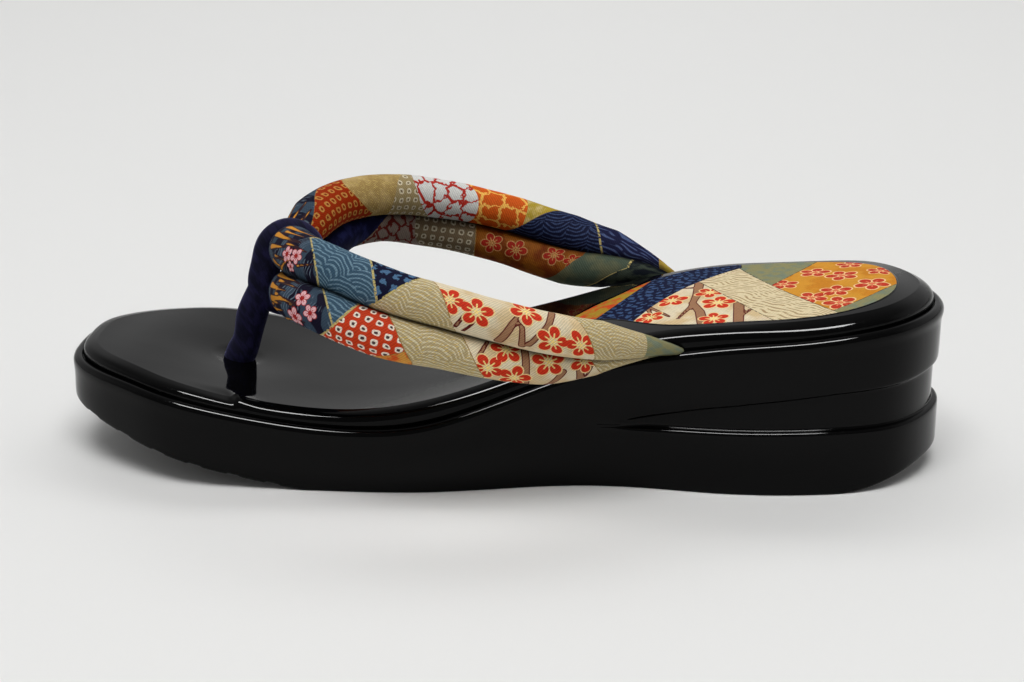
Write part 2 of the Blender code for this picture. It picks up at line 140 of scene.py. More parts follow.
# Along the footbed: the edge's full height over the rim's top, and how much higher the middle is.
BED_ROWS = table(("x", "edge", "crown"), [
    (120, 3.6, 0), (105, 3.2, 0.2), (60, 3, 0.6), (40, 3.4, 0.9), (20, 4.1, 1.1), (0, 4.4, 1.2),
    (-30, 4.3, 1.2), (-60, 4, 1.2), (-90, 3.9, 1.2), (-120, 4.4, 1.2),
])
CROWN_END = (113.0, 101.0)
POST_HOLE_X = 74.6
POST_HOLLOW_DEPTH = 1.3
POST_HOLLOW_REACH = 15.0
POST_DENT_DEPTH = 0.3
POST_DENT_REACH = (4.0, 8.0)
DISH_DEPTH = 0.5
DISH_START = 0.5
DISH_REAR = (-25.0, 5.0)
DISH_FRONT = (100.0, 75.0)

# The pinch in the wrapped edge beside the toe post: the film steps up there, by these heights on its two sides.
FOLD_X = 68.3
FOLD_TOE_SIDE = -0.55
FOLD_HEEL_SIDE = 0.9
FOLD_TOE_REACH = 9.0
FOLD_HEEL_REACH = 4.5
FOLD_SOFTNESS = 0.9
FOLD_SLANT = 0.5
FOLD_INNER_Y = 29.0
FOLD_OUTER_Y = 35.5

# The heel inlay.
PATCH_ROWS = table(("x", "half_width"), [
    (-18, 0), (-21, 3), (-25, 6.2), (-30, 9.9), (-35, 14.6), (-40, 19.2), (-46, 23), (-54, 25.4),
    (-66, 26.1), (-77, 26), (-86, 24.6), (-94, 21.8), (-100, 17.8), (-104.5, 12), (-107.2, 0),
])
# Its edge: insets from its outline and heights over the footbed.
PATCH_EDGE = table(("inset", "height"), [(0.0, -0.7), (0.0, 0.05), (0.1, 0.1), (0.45, 0.1)])

# The straps, from the toe post to a rear end: the middle of the pair of rolls, the pair's lean outwards
# from upright, the distance between the rolls' middles and each roll's radius.
STRAP_ROWS = table(("x", "y", "z", "lean_degrees", "roll_spacing", "roll_radius"), [
    (58.4, 0, 49.3, 0, 8.4, 3.1), (58.3, 3.9, 49.6, 0, 8.7, 3.5), (57.2, 8.3, 51.2, 0, 10.7, 5.2),
    (55.1, 16.6, 53.6, -3, 11.4, 6.4), (52.1, 25.7, 55.2, -10, 10.9, 6.3),
    (47.2, 34.4, 56, -23, 10.4, 6.1), (37.8, 43, 55.3, -29, 10.8, 5.9),
    (26, 48.5, 52.8, -23, 11, 5.8), (12, 49.9, 49.9, -9, 10.5, 5.4), (-2, 48.9, 46.4, 5, 10.2, 5.3),
    (-16, 45, 43.1, 24, 10, 5.4), (-28, 40.4, 41.9, 42, 8, 5), (-37.8, 36.3, 41, 58, 4.6, 3.2),
    (-44, 33.4, 39.9, 64, 2, 1.8), (-49, 30.4, 38.2, 64, 0.6, 1),
])
CLOTH_RADIUS = 6.0           # the print is laid out on a roll of this radius
PAD_LUMPS = 0.12             # how uneven the padding feels through the cloth
PAD_LUMP_STEP = 4.3          # the strap's length for each radian of the lumps' sine
PAD_LUMP_TWIST = 4.3 / 9.0   # how far the lumps turn round the roll meanwhile
PAINTED_CREASE_SHADE = 0.25          # painted shade: how bright the print is kept in the crease between the rolls, where shade falls
# how far from the crease the painted shade fades out, in millimetres
PAINTED_CREASE_SHADE_REACH = 2.2

# The toe post: a stem, and a loop round the pinched middle of the straps. They are ovals, with half their
# length in the middle plane and half their width across it.
POST_ROWS = table(("x", "z", "half_length", "half_width"), [
    (75.3, 20.4, 4.4, 4), (74.4, 22.9, 4.2, 4.1), (73.7, 24.4, 4.3, 4.2), (72.4, 27.2, 4, 3.9),
    (70.5, 34.6, 4.3, 3.7), (67.9, 41.7, 3.9, 3.6), (66.1, 47.2, 3.2, 3.3),
])
LOOP_ROWS = table(("x", "z", "half_length", "half_width"), [
    (66.7, 42.9, 4, 3.6), (65.9, 49.7, 4.2, 3.6), (64.5, 56.7, 3.4, 3.4), (58.9, 60.3, 3.2, 3.4),
    (53.1, 57.5, 3, 3.3), (51.7, 49.7, 3, 3.2), (53.1, 41.7, 2.9, 3.2), (59.5, 38.4, 2.9, 3.3),
])

# How finely the surfaces are worked out.
OUTLINE_STEPS = 360
RING_STEPS = 4
BED_RING_STEPS = 6
UNDERSIDE_ACROSS = 24
RECESS_ACROSS = 8
BED_ACROSS = 64
BED_UNDER_ACROSS = 2
PATCH_STEPS = 150
PATCH_ACROSS = 60
PATCH_UNDER_ACROSS = 4
STRAP_STEPS = 210
ROLL_STEPS = 52
POST_SIDES = 56
POST_STEPS = 90
LOOP_STEPS = 160


# The print, laid out in millimetres. On a strap, "along" is the distance from the toe post and
# "across" runs round the roll: on an upper roll 0 is its top, on a lower roll 0 is its bottom. On the inlay
# they are x and y.

def ink(red, green, blue):
    """A screen colour from 0 to 255 made linear: ((c / 255 + 0.055) / 1.055) ^ 2.4."""
    return (*(((c / 255 + 0.055) / 1.055) ** 2.4 for c in (red, green, blue)), 1.0)


# Fills: each motif's name, then its sizes, inks and maps in the order that MOTIFS gives.
CREAM = ("mottle", 9.0, (226, 212, 182), (214, 188, 144))
BARK = ("stroke", "twig", (160, 118, 88), (96, 34, 32))
LEAVES = ("stroke", "leaf", (208, 142, 52), (52, 34, 40))
RED_PLUM = ("plum", (208, 56, 34), (240, 210, 150), (246, 218, 140))
PINK_PLUM = ("plum", (228, 180, 184), (172, 36, 34), (190, 44, 36))
# Painted shade: the red plum's inks darkened for the far strap's lower roll, which is in shade.
PLUM_IN_PAINTED_SHADE = ("plum", (150, 36, 24), (176, 130, 80), (180, 130, 76))
GOLD_PLUM = ("plum", (196, 60, 40), (240, 205, 150), (226, 120, 90))
FILLS = {
    "irises": (
        ("blocks", 8.0, (56, 72, 88), (24, 22, 40), (98, 112, 126)),
        LEAVES,
        PINK_PLUM),
    "steel fans": (("fans", 6.0, 1.15, (58, 84, 104), (110, 138, 154)),),
    "blue lattice": (("petals", 3.2, 0.6, (76, 110, 144), (18, 20, 46)),),
    "red rings": (("rings", 2.75, (200, 62, 30), (240, 226, 208), (80, 60, 60)),),
    "orange rings": (("rings", 2.9, (152, 44, 10), (190, 134, 64), (130, 48, 18)),),
    "tan rings": (("rings", 2.7, (158, 140, 100), (214, 204, 176), (120, 106, 80)),),
    "grey rings": (("rings", 2.9, (114, 98, 76), (182, 172, 148), (98, 84, 64)),),
    "beige waves": (
        ("fans", 9.0, 1.15, (178, 160, 118), (214, 204, 172)),
        ("gold thread", (206, 176, 96))),
    "tan weave": (("mottle", 5.0, (162, 135, 82), (184, 158, 106)), ("gold thread", (206, 182, 110))),
    "plum on cream": (CREAM, BARK, RED_PLUM),
    "plum on orange": (("mottle", 6.0, (134, 76, 22), (108, 48, 14)), PLUM_IN_PAINTED_SHADE),
    "plum on gold": (("mottle", 7.0, (214, 150, 52), (204, 132, 40)), GOLD_PLUM),
    "white peony": (("petals", 5.2, 0.34, (220, 220, 216), (178, 46, 36)),),
    # Painted shade: the white peony's inks darkened, to stand in for the shade on the far strap's lower roll.
    "peony in painted shade": (("petals", 4.6, 0.3, (142, 126, 116), (104, 34, 28)),),
    "orange scales": (("petals", 5.6, 0.3, (214, 92, 28), (240, 184, 88)),),
    "leaf green": (("mottle", 4.0, (172, 148, 50), (202, 180, 118)),),
    "navy curls": (("fans", 7.0, 1.3, (20, 24, 50), (58, 72, 108)),),
    "navy grass": (("sway", 2.6, 0.35, (26, 28, 60), (74, 88, 128)),),
    "navy": (("mottle", 4.0, (20, 22, 52), (36, 40, 84)),),
    "teal": (("mottle", 7.0, (72, 84, 70), (96, 98, 74)),),
    # Painted shade: this teal is darkened to stand in for the shade under the upper roll at the far strap's
    # rear end.
    "teal in painted shade": (("mottle", 5.0, (16, 22, 30), (58, 66, 56)),),
    "gold orange": (("mottle", 2.6, (212, 152, 70), (206, 84, 38)),),
    "grey green": (("mottle", 4.0, (142, 138, 98), (122, 132, 112)),),
    "gold tip": (("mottle", 4.0, (186, 160, 60), (160, 120, 60)),),
    "inlay lattice": (("petals", 2.6, 0.5, (60, 84, 124), (20, 24, 52)),),
    "inlay waves": (("sway", 1.9, 0.9, (224, 208, 170), (172, 146, 106)),),
    "sprig": (("mottle", 3.6, (164, 134, 44), (200, 66, 34)),),
}
GOLD_LINE = (ink(190, 172, 110), 0.34)
FINE_LINE = (ink(150, 116, 62), 0.14)
DARK_LINE = (ink(66, 50, 34), 0.15)

# The patches of each roll in order from the post: what fills it, where it starts as places (along,
# across) on its seam, and the line along that seam.
PATCHES = {
    "left upper": (
        ("irises", (), None),
        ("steel fans", ((40.1, 5.4), (43.8, 9.1), (45.2, 14.5)), GOLD_LINE),
        ("blue lattice", ((57.8, 4.5), (60.4, 8.4), (62, 12)), GOLD_LINE),
        ("beige waves", ((63, 12.4), (66, 8.5), (68.7, 4.7)), GOLD_LINE),
        ("plum on cream", ((75.9, 3.3), (78.5, 7.7), (80.9, 12.6)), FINE_LINE),
        ("beige waves", ((112.2, -0.7), (114.1, 3), (116.1, 7.9)), FINE_LINE),
        ("grey green", ((131.1, 1.8), (131.1, 6)), None)),
    "left lower": (
        ("irises", (), None),
        ("steel fans", ((48.9, -13.8), (52, -10.8), (53.9, -8.5)), GOLD_LINE),
        ("red rings", ((51.6, -2.8), (56, -9.5), (57.2, -13.8)), GOLD_LINE),
        ("gold orange", ((72, -7.4), (66.8, -3.2)), FINE_LINE),
        ("beige waves", ((66.4, -14.9), (69.2, -10.9), (71.8, -6.7)), FINE_LINE),
        ("plum on cream", ((84.9, -14.7), (87, -11.5), (89.4, -8)), FINE_LINE),
        ("beige waves", ((118.1, -13.4), (120, -10.5)), FINE_LINE),
        ("grey green", ((134, -13.4), (134, -6)), None)),
    "right upper": (
        ("irises", (), None),
        ("orange rings", ((19.9, 0.2), (13.5, -3.1)), FINE_LINE),
        ("tan weave", ((31.1, -0.6), (31.4, -4.9), (34.5, -8)), FINE_LINE),
        ("tan rings", ((50.1, 0.1), (48, -4.5), (47.2, -8.2)), None),
        ("white peony", ((54.7, 0.3), (56, -5.2), (58.9, -9.6)), FINE_LINE),
        ("orange scales", ((73.7, 0.6), (76.8, -4.3), (76.9, -11.5)), None),
        ("leaf green", ((91.2, -2), (92.2, -7), (92, -11)), None),
        ("navy curls", ((99.3, -2.7), (95.2, -7.4), (90.2, -12.5)), FINE_LINE),
        ("navy grass", ((114.5, -4.5), (117.3, -10.3), (118.5, -14.3)), GOLD_LINE),
        ("gold tip", ((134.8, -6.4), (136.2, -12.8)), None)),
    "right lower": (
        ("navy", (), None),
        # Painted shade: darkened peony inks stand in for the shade on this roll.
        ("peony in painted shade", ((45.9, 12.9), (42, 9.6)), FINE_LINE),
        ("grey rings", ((59.2, 16.3), (58.8, 12.4), (60.8, 7.9)), None),
        ("plum on orange", ((78.5, 13.2), (79, 9.5), (79.3, 4.7)), FINE_LINE),
        ("teal", ((111, 10.1), (108.8, 7.6), (105.9, 4.6)), None),
        # Painted shade: the rear end of this roll is drawn in darkened teal, for the shade under the upper
        # roll.
        ("teal in painted shade", ((120, 2.4), (123.2, 4.3)), GOLD_LINE)),
    "inlay": (
        ("grey green", (), None),
        ("plum on gold", ((-89.2, 21.1), (-98.6, 13.1), (-106.9, 3.6)), DARK_LINE),
        ("grey green", ((-86.3, -22.3), (-79.8, -11), (-73.9, -2)), DARK_LINE),
        ("inlay waves", ((-66, -18.5), (-73.1, -2.2), (-80.5, 10.4), (-88.5, 21)), DARK_LINE),
        ("plum on cream", ((-54.7, -7.6), (-63.8, 11), (-72.5, 25.4)), DARK_LINE),
        ("inlay lattice", ((-33.5, 17.6), (-41.9, 5.6), (-53.6, -9.1), (-64.9, -18.8)), DARK_LINE),
        ("sprig", ((-26.5, 5.6), (-34.9, -7.6), (-43, -25.2)), None)),
}
SEAM_REACH = 3.0             # a seam goes on level past its first and last place by this much

# Blossoms: their middles, radii and turns.
BLOSSOM_COLUMNS = ("along", "across", "radius", "turn_degrees")
BLOSSOMS = {
    "left upper": ((79.1, 5.9, 4, 30), (85.7, 6.7, 4.3, 12), (97.4, 1.5, 4.3, 48), (104.9, 7.9, 4.4, 20),
        (112.3, 6.6, 4.3, 60), (33.3, 9.2, 2.1, 0), (37, 9.1, 2.1, 40), (35.2, 12.2, 1.5, 10)),
    "left lower": ((95.2, -15.4, 4.1, 0), (91.7, -8.8, 4.2, 50), (98.6, -7.4, 4.2, 22),
        (106.1, -14.1, 4.4, 8), (115.4, -14.5, 3.9, 40), (43.9, -10.6, 2.2, 0), (42.2, -4.9, 2.8, 20),
        (47.8, -7.7, 2.2, 50)),
    "right lower": ((84.1, 11.3, 3.5, 10), (92.2, 10.9, 3.7, 40), (104.6, 12.1, 3.5, 20),
        (110.9, 10.5, 2.8, 0)),
    "inlay": ((-46.5, 4.7, 4.5, 10), (-40.7, 15.2, 3.9, 40), (-58.8, 10.7, 4.8, 5), (-56.8, 1.7, 4.2, 50),
        (-57.5, 22.3, 4.1, 20), (-85.8, -11.5, 4.3, 0), (-92.8, -6, 4.5, 30), (-95.9, -17.4, 3.9, 15),
        (-100, 3.9, 4.8, 50), (-103.2, -7.8, 3.7, 5), (-76.8, -1.5, 4.1, 22), (-83.6, 11.1, 4.4, 40),
        (-90.2, 7, 4.3, 10), (-90.6, 16.4, 4.5, 30)),
}

# Twigs and iris leaves: straight runs from (along, across) to (along, across) and the half widths there.
STROKE_COLUMNS = ("along", "across", "to_along", "to_across", "half_width", "to_half_width")
TWIGS = {
    "left upper": ((81.7, 13, 83.4, 8, 0.45, 0.3), (83.7, 14, 85.9, 9.5, 0.3, 0.2),
        (92.4, 13.9, 94.3, 7, 1, 0.8), (94.3, 7, 95.4, 3.5, 0.8, 0.3), (98, 12.5, 96.8, 6.8, 0.8, 0.6),
        (96.8, 6.8, 95.5, 5.5, 0.6, 0.3), (99.4, 11.3, 100.8, 7.9, 0.7, 0.6),
        (100.8, 7.9, 103.2, 4, 0.6, 0.8), (103.2, 4, 105, -2.3, 0.8, 0.9),
        (103.4, 4.4, 106, 4.2, 0.35, 0.5)),
    "left lower": ((88.8, -11.2, 90.3, -16.5, 0.5, 0.4), (101, -9, 99.8, -16.6, 0.9, 0.9),
        (100.9, -9.9, 102.4, -4, 0.9, 0.7), (110.1, -11.3, 107.4, -5, 0.9, 0.7),
        (115.3, -7.8, 113.7, -15.3, 0.9, 0.9), (116.4, -8, 117.9, -14, 0.35, 0.3)),
    "inlay": ((-54.2, -10.6, -53.3, 2.3, 1.3, 1.2), (-53.3, 2.3, -51.6, 11.7, 1.2, 0.7),
        (-51.6, 11.7, -48.1, 19.4, 0.7, 0.35), (-51.9, 8.6, -53.9, 16.4, 0.9, 1.2),
        (-53.9, 16.4, -54.5, 24.3, 1.2, 1.4), (-64.3, 12.5, -63.8, 26, 1.4, 1.3),
        (-67.3, 17.5, -64.1, 22.3, 0.4, 0.6), (-39.5, 5.7, -45.8, 16.9, 0.5, 0.35),
        (-39.5, 5.7, -41.5, 16, 0.6, 0.3), (-54, -4, -49.5, -4.8, 0.6, 0.25)),
}
LEAF_STROKES = {
    "left upper": ((20, 1.5, 35.5, 0.5, 0.9, 0.2), (20, 5, 35.5, 5.2, 0.9, 0.2),
        (21, 8.5, 31.5, 7.5, 0.8, 0.2), (23, 12, 30, 13, 0.8, 0.2), (28, 14, 38, 8.5, 0.5, 0.15),
        (38, 11.5, 43.5, 9.8, 0.4, 0.15), (24, 3.2, 34, 3, 0.6, 0.15), (26, 10.4, 36.5, 10.9, 0.5, 0.15),
        (31, 6.4, 40, 7.4, 0.45, 0.15)),
    "left lower": ((22.4, -14.9, 39.7, -14.1, 0.9, 0.2), (23, -11.5, 37, -10.8, 0.9, 0.2),
        (26, -8.2, 44.1, -8.8, 0.9, 0.2), (24, -5, 37, -5.5, 0.8, 0.2), (33, -2, 46, -4.4, 0.6, 0.15),
        (29, -13.2, 41.5, -12.4, 0.55, 0.15), (31, -9.9, 43, -7.4, 0.5, 0.15),
        (26, -6.7, 37, -7.5, 0.5, 0.15)),
    "right upper": ((5, 2, 16, 0.6, 0.9, 0.2), (4, -1, 14, -2.2, 0.9, 0.2), (5, -4, 13, -5, 0.8, 0.2),
        (7, 4, 17, 4.5, 0.8, 0.2)),
}
# What the two coordinates of each of the print's maps are called, and what stands for no blossom or stroke.
MAPS = {"cloth": ("along", "across"), "bloom": ("bloom x", "bloom y"), "strokes": ("twig", "leaf")}
FAR_AWAY = 99.0
TRACKS = ("right upper", "right lower", "left upper", "left lower")


# Curves and arrays

def columns(rows, *names):
    """The named columns of a table, side by side."""
    return np.column_stack([rows[name] for name in names])


def spline(knots, values, at):
    """Natural cubic spline: cubics through the knots whose slope and bend run on from piece to piece."""
    knots = np.asarray(knots, float)
    values = np.asarray(values, float).reshape(len(knots), -1)
    count = len(knots)
    step = np.diff(knots)
    matrix = np.eye(count)
    pull = np.zeros_like(values)
    for i in range(1, count - 1):
        matrix[i, i - 1:i + 2] = step[i - 1], 2 * (step[i - 1] + step[i]), step[i]
        pull[i] = 6 * ((values[i + 1] - values[i]) / step[i] - (values[i] - values[i - 1]) / step[i - 1])
    bend = np.linalg.solve(matrix, pull)
    at = np.asarray(at, float)
    cell = np.clip(np.searchsorted(knots, at) - 1, 0, count - 2)
    width = step[cell][:, None]
    right = ((at - knots[cell])[:, None]) / width
    left = 1 - right
    bulge = ((left ** 3 - left) * bend[cell] + (right ** 3 - right) * bend[cell + 1]) * width ** 2 / 6
    return left * values[cell] + right * values[cell + 1] + bulge


def along_sole(rows, column, x):
    """A column of a table of sections, by a spline in x."""
    at = np.clip(np.ravel(x), HEEL_X, TOE_X)
    return spline(rows["x"][::-1], rows[column][::-1], at)[:, 0].reshape(np.shape(x))


def lengths(points):
    """Distance run along a row of points."""
    return np.concatenate([[0.0], np.cumsum(np.linalg.norm(np.diff(points, axis=0), axis=1))])


def smoothstep(value, start, end):
    """0 before start, 1 after end, and 3t^2 - 2t^3 between."""
    t = np.clip((value - start) / (end - start), 0.0, 1.0)
    return t * t * (3 - 2 * t)


def hill(value, middle, reach):
    """A bell curve: exp(-(distance / reach)^2)."""
    return np.exp(-((value - middle) / reach) ** 2)


def rounded(rings, steps):
    """Uniform cubic B-spline through a stack of rings: each new ring is a weighted mean of four neighbours."""
    net = np.concatenate([rings[:1], rings[:1], rings, rings[-1:], rings[-1:]])
    t = np.arange(steps)[:, None] / steps
    weights = np.hstack([(1 - t) ** 3, 3 * t ** 3 - 6 * t ** 2 + 4,
                         -3 * t ** 3 + 3 * t ** 2 + 3 * t + 1, t ** 3]) / 6
    spans = np.stack([net[:-3], net[1:-2], net[2:-1], net[3:]], axis=1)
    made = np.einsum("tk,skpc->stpc", weights, spans).reshape(-1, *rings.shape[1:])
    return np.concatenate([made, rings[-1:]])


def side_outline(rows, steps):
    """Evenly spaced points along one side of an outline, end to end, by a spline in arc length."""
    side = columns(rows, "x", "half_width")
    flip = np.array([1.0, -1.0])
    closed = np.vstack([side[3:0:-1] * flip, side, side[-2:-5:-1] * flip])
    run = lengths(closed)
    return spline(run, closed, np.linspace(run[3], run[len(side) + 2], steps + 1))


def closed_outline(side):
    """The whole outline, from the front point round the left side to the back point and home."""
    return np.vstack([side, side[-2:0:-1] * np.array([1.0, -1.0])])


def outward(outline):
    """Unit normals of a closed outline: its chord turned a quarter turn."""
    along = np.roll(outline, -1, axis=0) - np.roll(outline, 1, axis=0)
    across = np.stack([along[:, 1], -along[:, 0]], axis=1)
    return across / np.linalg.norm(across, axis=1)[:, None]


# Meshes

def band(ring, following):
    """Quads between two closed rings of point numbers."""
    return np.column_stack([ring, np.roll(ring, -1), np.roll(following, -1), following])


def tube(numbers):
    """Quads between each closed ring of a grid of point numbers and the next."""
    return np.vstack([band(a, b) for a, b in zip(numbers, numbers[1:])])


def fan(ring, centre):
    """Triangles from a closed ring of point numbers to a middle point."""
    middle = np.full(len(ring), centre)
    return np.column_stack([ring, middle, middle, np.roll(ring, -1)])


def capped_tube(rings, ends):
    """Points and faces of a tube of rings that is closed at each end by triangles to an end point."""
    numbers = np.arange(rings[..., 0].size).reshape(rings.shape[:2])
    points = np.vstack([rings.reshape(-1, 3), ends])
    caps = fan(numbers[0], len(points) - 2), fan(numbers[-1][::-1], len(points) - 1)
    return points, np.vstack([tube(numbers), *caps])


def cells(grid):
    """The four corners of each cell of a grid."""
    return np.stack([grid[:-1, :-1], grid[:-1, 1:], grid[1:, 1:], grid[1:, :-1]], axis=2)


def quads(numbers):
    """Quads between neighbouring entries of a grid of point numbers."""
    return cells(numbers).reshape(-1, 4)


def lid(points, ring, across, height_of):
    """A cap across a closed outline ring: rows from the left side to the right, at the height of (x, y)."""
    half = len(ring) // 2
    left, right = points[ring[1:half]], points[ring[:half:-1]]
    share = (np.arange(1, across) / across)[None, :, None]
    inner = left[:, None] * (1 - share) + right[:, None] * share
    inner[..., 2] = height_of(inner[..., 0], inner[..., 1])
    first = len(points)
    numbers = np.empty((half + 1, across + 1), int)
    numbers[0], numbers[-1] = ring[0], ring[half]
    numbers[1:-1, 0], numbers[1:-1, -1] = ring[1:half], ring[:half:-1]
    numbers[1:-1, 1:-1] = first + np.arange(inner[..., 0].size).reshape(inner.shape[:2])
    return np.vstack([points, inner.reshape(-1, 3)]), quads(numbers)


def stacked(rings, top_across, top_height, bottom_across, bottom_height):
    """Points of a stack of rings with a lid at each end, and the faces of its wall, top and bottom."""
    count = rings.shape[1]
    numbers = np.arange(rings.shape[0] * count).reshape(-1, count)
    points, top = lid(rings.reshape(-1, 3), numbers[-1], top_across, top_height)
    points, bottom = lid(points, numbers[0], bottom_across, bottom_height)
    return points, tube(numbers)[:, ::-1], top[:, ::-1], bottom


def place_object(name, data):
    made = bpy.data.objects.new(name, data)
    bpy.context.scene.collection.objects.link(made)
    return made


def make_piece(name, points, faces, body="root", looks=(), look_of_face=None, maps=None, crease_degrees=60):
    """A mesh piece from points in millimetres and rows of four corner numbers (a triangle repeats one)."""
    rows = [list(dict.fromkeys(face)) for face in faces.tolist()]
    mesh = bpy.data.meshes.new(name)
    mesh.from_pydata(points * MM, [], rows)
    if look_of_face is not None:
        mesh.polygons.foreach_set("material_index", np.asarray(look_of_face, np.int32))
    for map_name, corners in (maps or {}).items():
        kept = [corners[i][[list(face).index(v) for v in row]]
                for i, (face, row) in enumerate(zip(faces.tolist(), rows))]
        layer = mesh.uv_layers.new(name=map_name)
        layer.uv.foreach_set("vector", np.concatenate(kept).astype(np.float32).ravel())
    for look in looks:
        mesh.materials.append(look)
    mesh.shade_smooth()
    mesh.set_sharp_from_angle(angle=math.radians(crease_degrees))
    mesh.update()
    piece = place_object(name, mesh)
    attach(piece, body)
    return piece


def past_edge(rows, spots):
    """How far spots are outside the nearest stroke: the distance to its middle line, less its half width."""
    nearest = np.full(spots.shape[:-1], FAR_AWAY)
    for row in table(STROKE_COLUMNS, rows or ()):
        start = np.array([row["along"], row["across"]])
        run = np.array([row["to_along"], row["to_across"]]) - start
        share = np.clip(((spots - start) @ run) / (run @ run), 0.0, 1.0)
        width = row["half_width"] + (row["to_half_width"] - row["half_width"]) * share
        nearest = np.minimum(nearest, np.linalg.norm(spots - start - share[..., None] * run, axis=-1) - width)
    return nearest


def print_maps(track, spots):
    """The print's maps from the cloth's (along, across) at each corner: those millimetres, the place within the
    nearest blossom as shares of its radius, and the distances to the edges of the nearest twig and leaf."""
    bloom = np.full(spots.shape, FAR_AWAY)
    rows = table(BLOSSOM_COLUMNS, BLOSSOMS.get(track, ()))
    if len(rows):
        centre = columns(rows, "along", "across")
        away = np.linalg.norm(spots.mean(axis=1)[:, None] - centre, axis=2) / rows["radius"]
        nearest = away.argmin(axis=1)
        offset = (spots - centre[nearest][:, None]) / rows["radius"][nearest][:, None, None]
        turn = np.radians(rows["turn_degrees"])[nearest][:, None]
        bloom = np.stack([offset[..., 0] * np.cos(turn) + offset[..., 1] * np.sin(turn),
                          offset[..., 1] * np.cos(turn) - offset[..., 0] * np.sin(turn)], axis=-1)
    strokes = np.stack([past_edge(rows.get(track), spots) for rows in (TWIGS, LEAF_STROKES)], axis=-1)
    return {"cloth": spots, "bloom": bloom, "strokes": strokes}


# The sole

def rim_top(x):
    return along_sole(SOLE_ROWS, "rim_top", x)


def underside(x):
    toe = np.clip((x - TOE_SPRING_START) / (TOE_X - TOE_SPRING_START), 0.0, 1.0)
    return TOE_SPRING * toe ** TOE_SPRING_POWER + HEEL_LIFT * smoothstep(x, HEEL_LIFT_START, HEEL_X)


def groove(x):
    """Depth of the cross grooves: flat-bottomed troughs, once every pitch ahead of the first one."""
    off = np.abs((x - GROOVE_FIRST + GROOVE_PITCH / 2) % GROOVE_PITCH - GROOVE_PITCH / 2)
    trough = smoothstep(off, GROOVE_WIDTH / 2 + GROOVE_SOFTNESS, GROOVE_WIDTH / 2 - GROOVE_SOFTNESS)
    return GROOVE_DEPTH * trough * smoothstep(x, *GROOVE_START)


OUTLINE = closed_outline(side_outline(SOLE_ROWS, OUTLINE_STEPS))
NORMALS = outward(OUTLINE)


def inset_ring(inset, height_of):
    """A ring set in from the sole's outline along its normals, at the height that height_of gives for its x."""
    plan = OUTLINE - NORMALS * np.reshape(inset, (-1, 1))
    return np.column_stack([plan, height_of(plan[:, 0])])


def sagged_rim(x):
    """The rim's top, which sags a little under the straps."""
    return rim_top(x) - sum(row["drop"] * hill(x, row["x"], row["reach"]) for row in RIM_SAGS)


def tier_height(x, row):
    """A ring's height behind, from the tier's edge that it follows."""
    tiers = TIER_ROWS[::-1]
    edge = "upper_tier_foot" if row["upper"] else "lower_tier_top"
    return np.interp(x, tiers["x"], tiers[edge]) + row["lift"]


def sole_rings():
    """Control rings of the sole's wall, from the underside's edge up over the rim and down into the recess.
    In front the wall leans in evenly from its foot to its crease; behind it follows the tiers."""
    behind = smoothstep(OUTLINE[:, 0], BAND_START, BAND_FULL)
    ends = smoothstep(np.abs(OUTLINE[:, 0]), *CORNER_BLEND)
    corner = CORNER_SIDE + (CORNER_END - CORNER_SIDE) * ends
    crease = WALL_CREASE + (TOE_CREASE - WALL_CREASE) * smoothstep(OUTLINE[:, 0], *TOE_CREASE_BLEND)
    rings = []
    for row in FOOT_RINGS:
        rings.append(inset_ring(corner * row["corner_share"] + row["inset"],
                                lambda x: underside(x) + row["lift"] + row["groove_share"] * groove(x)))
    for number, row in enumerate(TIER_RINGS):
        share = (number + 0.5) / len(TIER_RINGS)

        def height(x):
            foot = underside(x) + WALL_FOOT
            front = foot + share * (rim_top(x) - WALL_TOP_DROP - foot)
            return front + (tier_height(x, row) - front) * smoothstep(x, *TIER_BLEND)

        front_inset = WALL_INSET + (crease - WALL_INSET) * share
        inset_behind = row["inset"] + BAND_SETBACK * row["on_band"]
        rings.append(inset_ring(front_inset * (1 - behind) + inset_behind * behind, height))
    for row in RIM_RINGS:
        rings.append(inset_ring(crease * row["crease_share"] + row["inset"],
                                lambda x: sagged_rim(x) - row["drop"]))
    return np.array(rings)


def make_sole(enamel, tread):
    """The wall is a B-spline stack of rings; the underside and the recess are lids."""
    rings = rounded(sole_rings(), RING_STEPS)
    points, wall, top, bottom = stacked(rings, RECESS_ACROSS, lambda x, y: rim_top(x) - RECESS_DEPTH,
                                        UNDERSIDE_ACROSS, lambda x, y: underside(x) + groove(x))
    faces = np.vstack([wall, top, bottom])
    look = np.zeros(len(faces), int)
    look[:RING_STEPS * rings.shape[1]] = 1
    look[len(wall) + len(top):] = 1
    return make_piece("sole", points, faces, looks=(enamel, tread), look_of_face=look)


# The footbed

BED_INNER = OUTLINE - NORMALS * BED_EDGE["inset"][-1]
BED_SIDE = BED_INNER[:OUTLINE_STEPS + 1][::-1]


def bed_height(x, y):
    """The footbed's top inside its rolled edge: the rim's height, plus the edge's, plus a parabola across the
    width, less a bell round the toe post. Under the ball of the foot it is flat and turns up to its edges."""
    half = np.maximum(np.interp(x, BED_SIDE[:, 0], BED_SIDE[:, 1]), 0.01)
    share = np.clip(np.abs(y) / half, 0.0, 1.0)
    crown = along_sole(BED_ROWS, "crown", x) * (1 - share ** 2) * smoothstep(np.abs(x), *CROWN_END)
    dish = -DISH_DEPTH * (1 - (np.clip(share - DISH_START, 0.0, 1.0) / (1 - DISH_START)) ** 2)
    dished = smoothstep(x, *DISH_REAR) * smoothstep(x, *DISH_FRONT)
    hollow = POST_HOLLOW_DEPTH * np.exp(-((x - POST_HOLE_X) ** 2 + y ** 2) / POST_HOLLOW_REACH ** 2)
    return rim_top(x) + along_sole(BED_ROWS, "edge", x) + crown + (dish - crown) * dished - hollow


